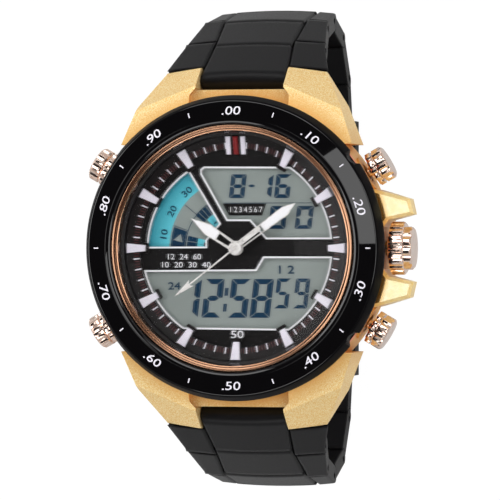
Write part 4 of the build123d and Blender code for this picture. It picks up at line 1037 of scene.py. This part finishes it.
world = bpy.data.worlds.new("pale_surround")
bpy.context.scene.world = world
world.use_nodes = True
tree = world.node_tree
tree.nodes.clear()
path = add(tree, "ShaderNodeLightPath")
way = add(tree, "ShaderNodeSeparateXYZ", {"Vector": add(tree, "ShaderNodeTexCoord").outputs["Generated"]})
shade = add(tree, "ShaderNodeMapRange", {
    "Value": way.outputs["Z"], "From Min": 0.35, "From Max": 0.8, "To Min": 0.55, "To Max": 0.04,
})
plain = add(tree, "ShaderNodeBackground", {"Color": linear("FFFFFF"), "Strength": shade.outputs["Result"]})
bright = add(tree, "ShaderNodeBackground", {"Color": linear("FFFFFF"), "Strength": 1.0})
both = add(tree, "ShaderNodeMixShader", {
    0: path.outputs["Is Camera Ray"], 1: plain.outputs[0], 2: bright.outputs[0],
})
add(tree, "ShaderNodeOutputWorld", {"Surface": both.outputs[0]})


def softbox(name, azimuth, height, distance, width, depth, level, across=0.0):
    """A rectangular lamp that faces the watch, of an even radiance level, slid sideways if wanted."""
    lamp = bpy.data.lights.new(name, "AREA")
    lamp.shape = "RECTANGLE"
    lamp.size, lamp.size_y = width, depth
    lamp.energy = level * math.pi * width * depth
    holder = bpy.data.objects.new(name, lamp)
    bpy.context.collection.objects.link(holder)
    around, up = math.radians(azimuth), math.radians(height)
    outward = Vector((math.cos(up) * math.cos(around), math.cos(up) * math.sin(around), math.sin(up)))
    where = outward * distance
    holder.location = where + Vector((0, across, 0))
    holder.rotation_euler = where.to_track_quat("Z", "Y").to_euler()


softbox("lamp_left", 172, 33, 0.7, 0.6, 0.4, 3.4)
softbox("lamp_right", 8, 38, 0.7, 0.5, 0.4, 3.1)
softbox("lamp_top", 95, 45, 0.75, 0.6, 0.34, 3.1)
softbox("lamp_low", -92, 42, 0.75, 0.6, 0.3, 2.8)
softbox("lamp_over_bezel", 0, 85.5, 0.8, 0.2, 0.21, 2.6, 0.11)
softbox("lamp_over_guards", 180, 82.4, 0.8, 0.16, 0.1, 1.5)

# Camera
# The photograph's view: a long lens over the dial, turned to the crown's side.

view_turn = math.radians(12.8)
view_distance = 0.6
view_width = 81.3 * mm
shift_right = 3.2 * mm
shift_down = 0.3 * mm
right = Vector((math.cos(view_turn), 0, -math.sin(view_turn)))
back = Vector((math.sin(view_turn), 0, math.cos(view_turn)))
up = Vector((0, 1, 0))
target = Vector((0, 0, bezel_top * mm)) + right * shift_right - up * shift_down
lens = bpy.data.cameras.new("photo_view")
lens.sensor_width = 36
lens.lens = 36 * view_distance / view_width
lens.clip_start = 0.01
camera = bpy.data.objects.new("photo_view", lens)
bpy.context.collection.objects.link(camera)
pose = Matrix((right, up, back)).transposed().to_4x4()
pose.translation = target + back * view_distance
camera.matrix_world = pose
bpy.context.scene.camera = camera
bpy.context.scene.view_settings.view_transform = "Standard"
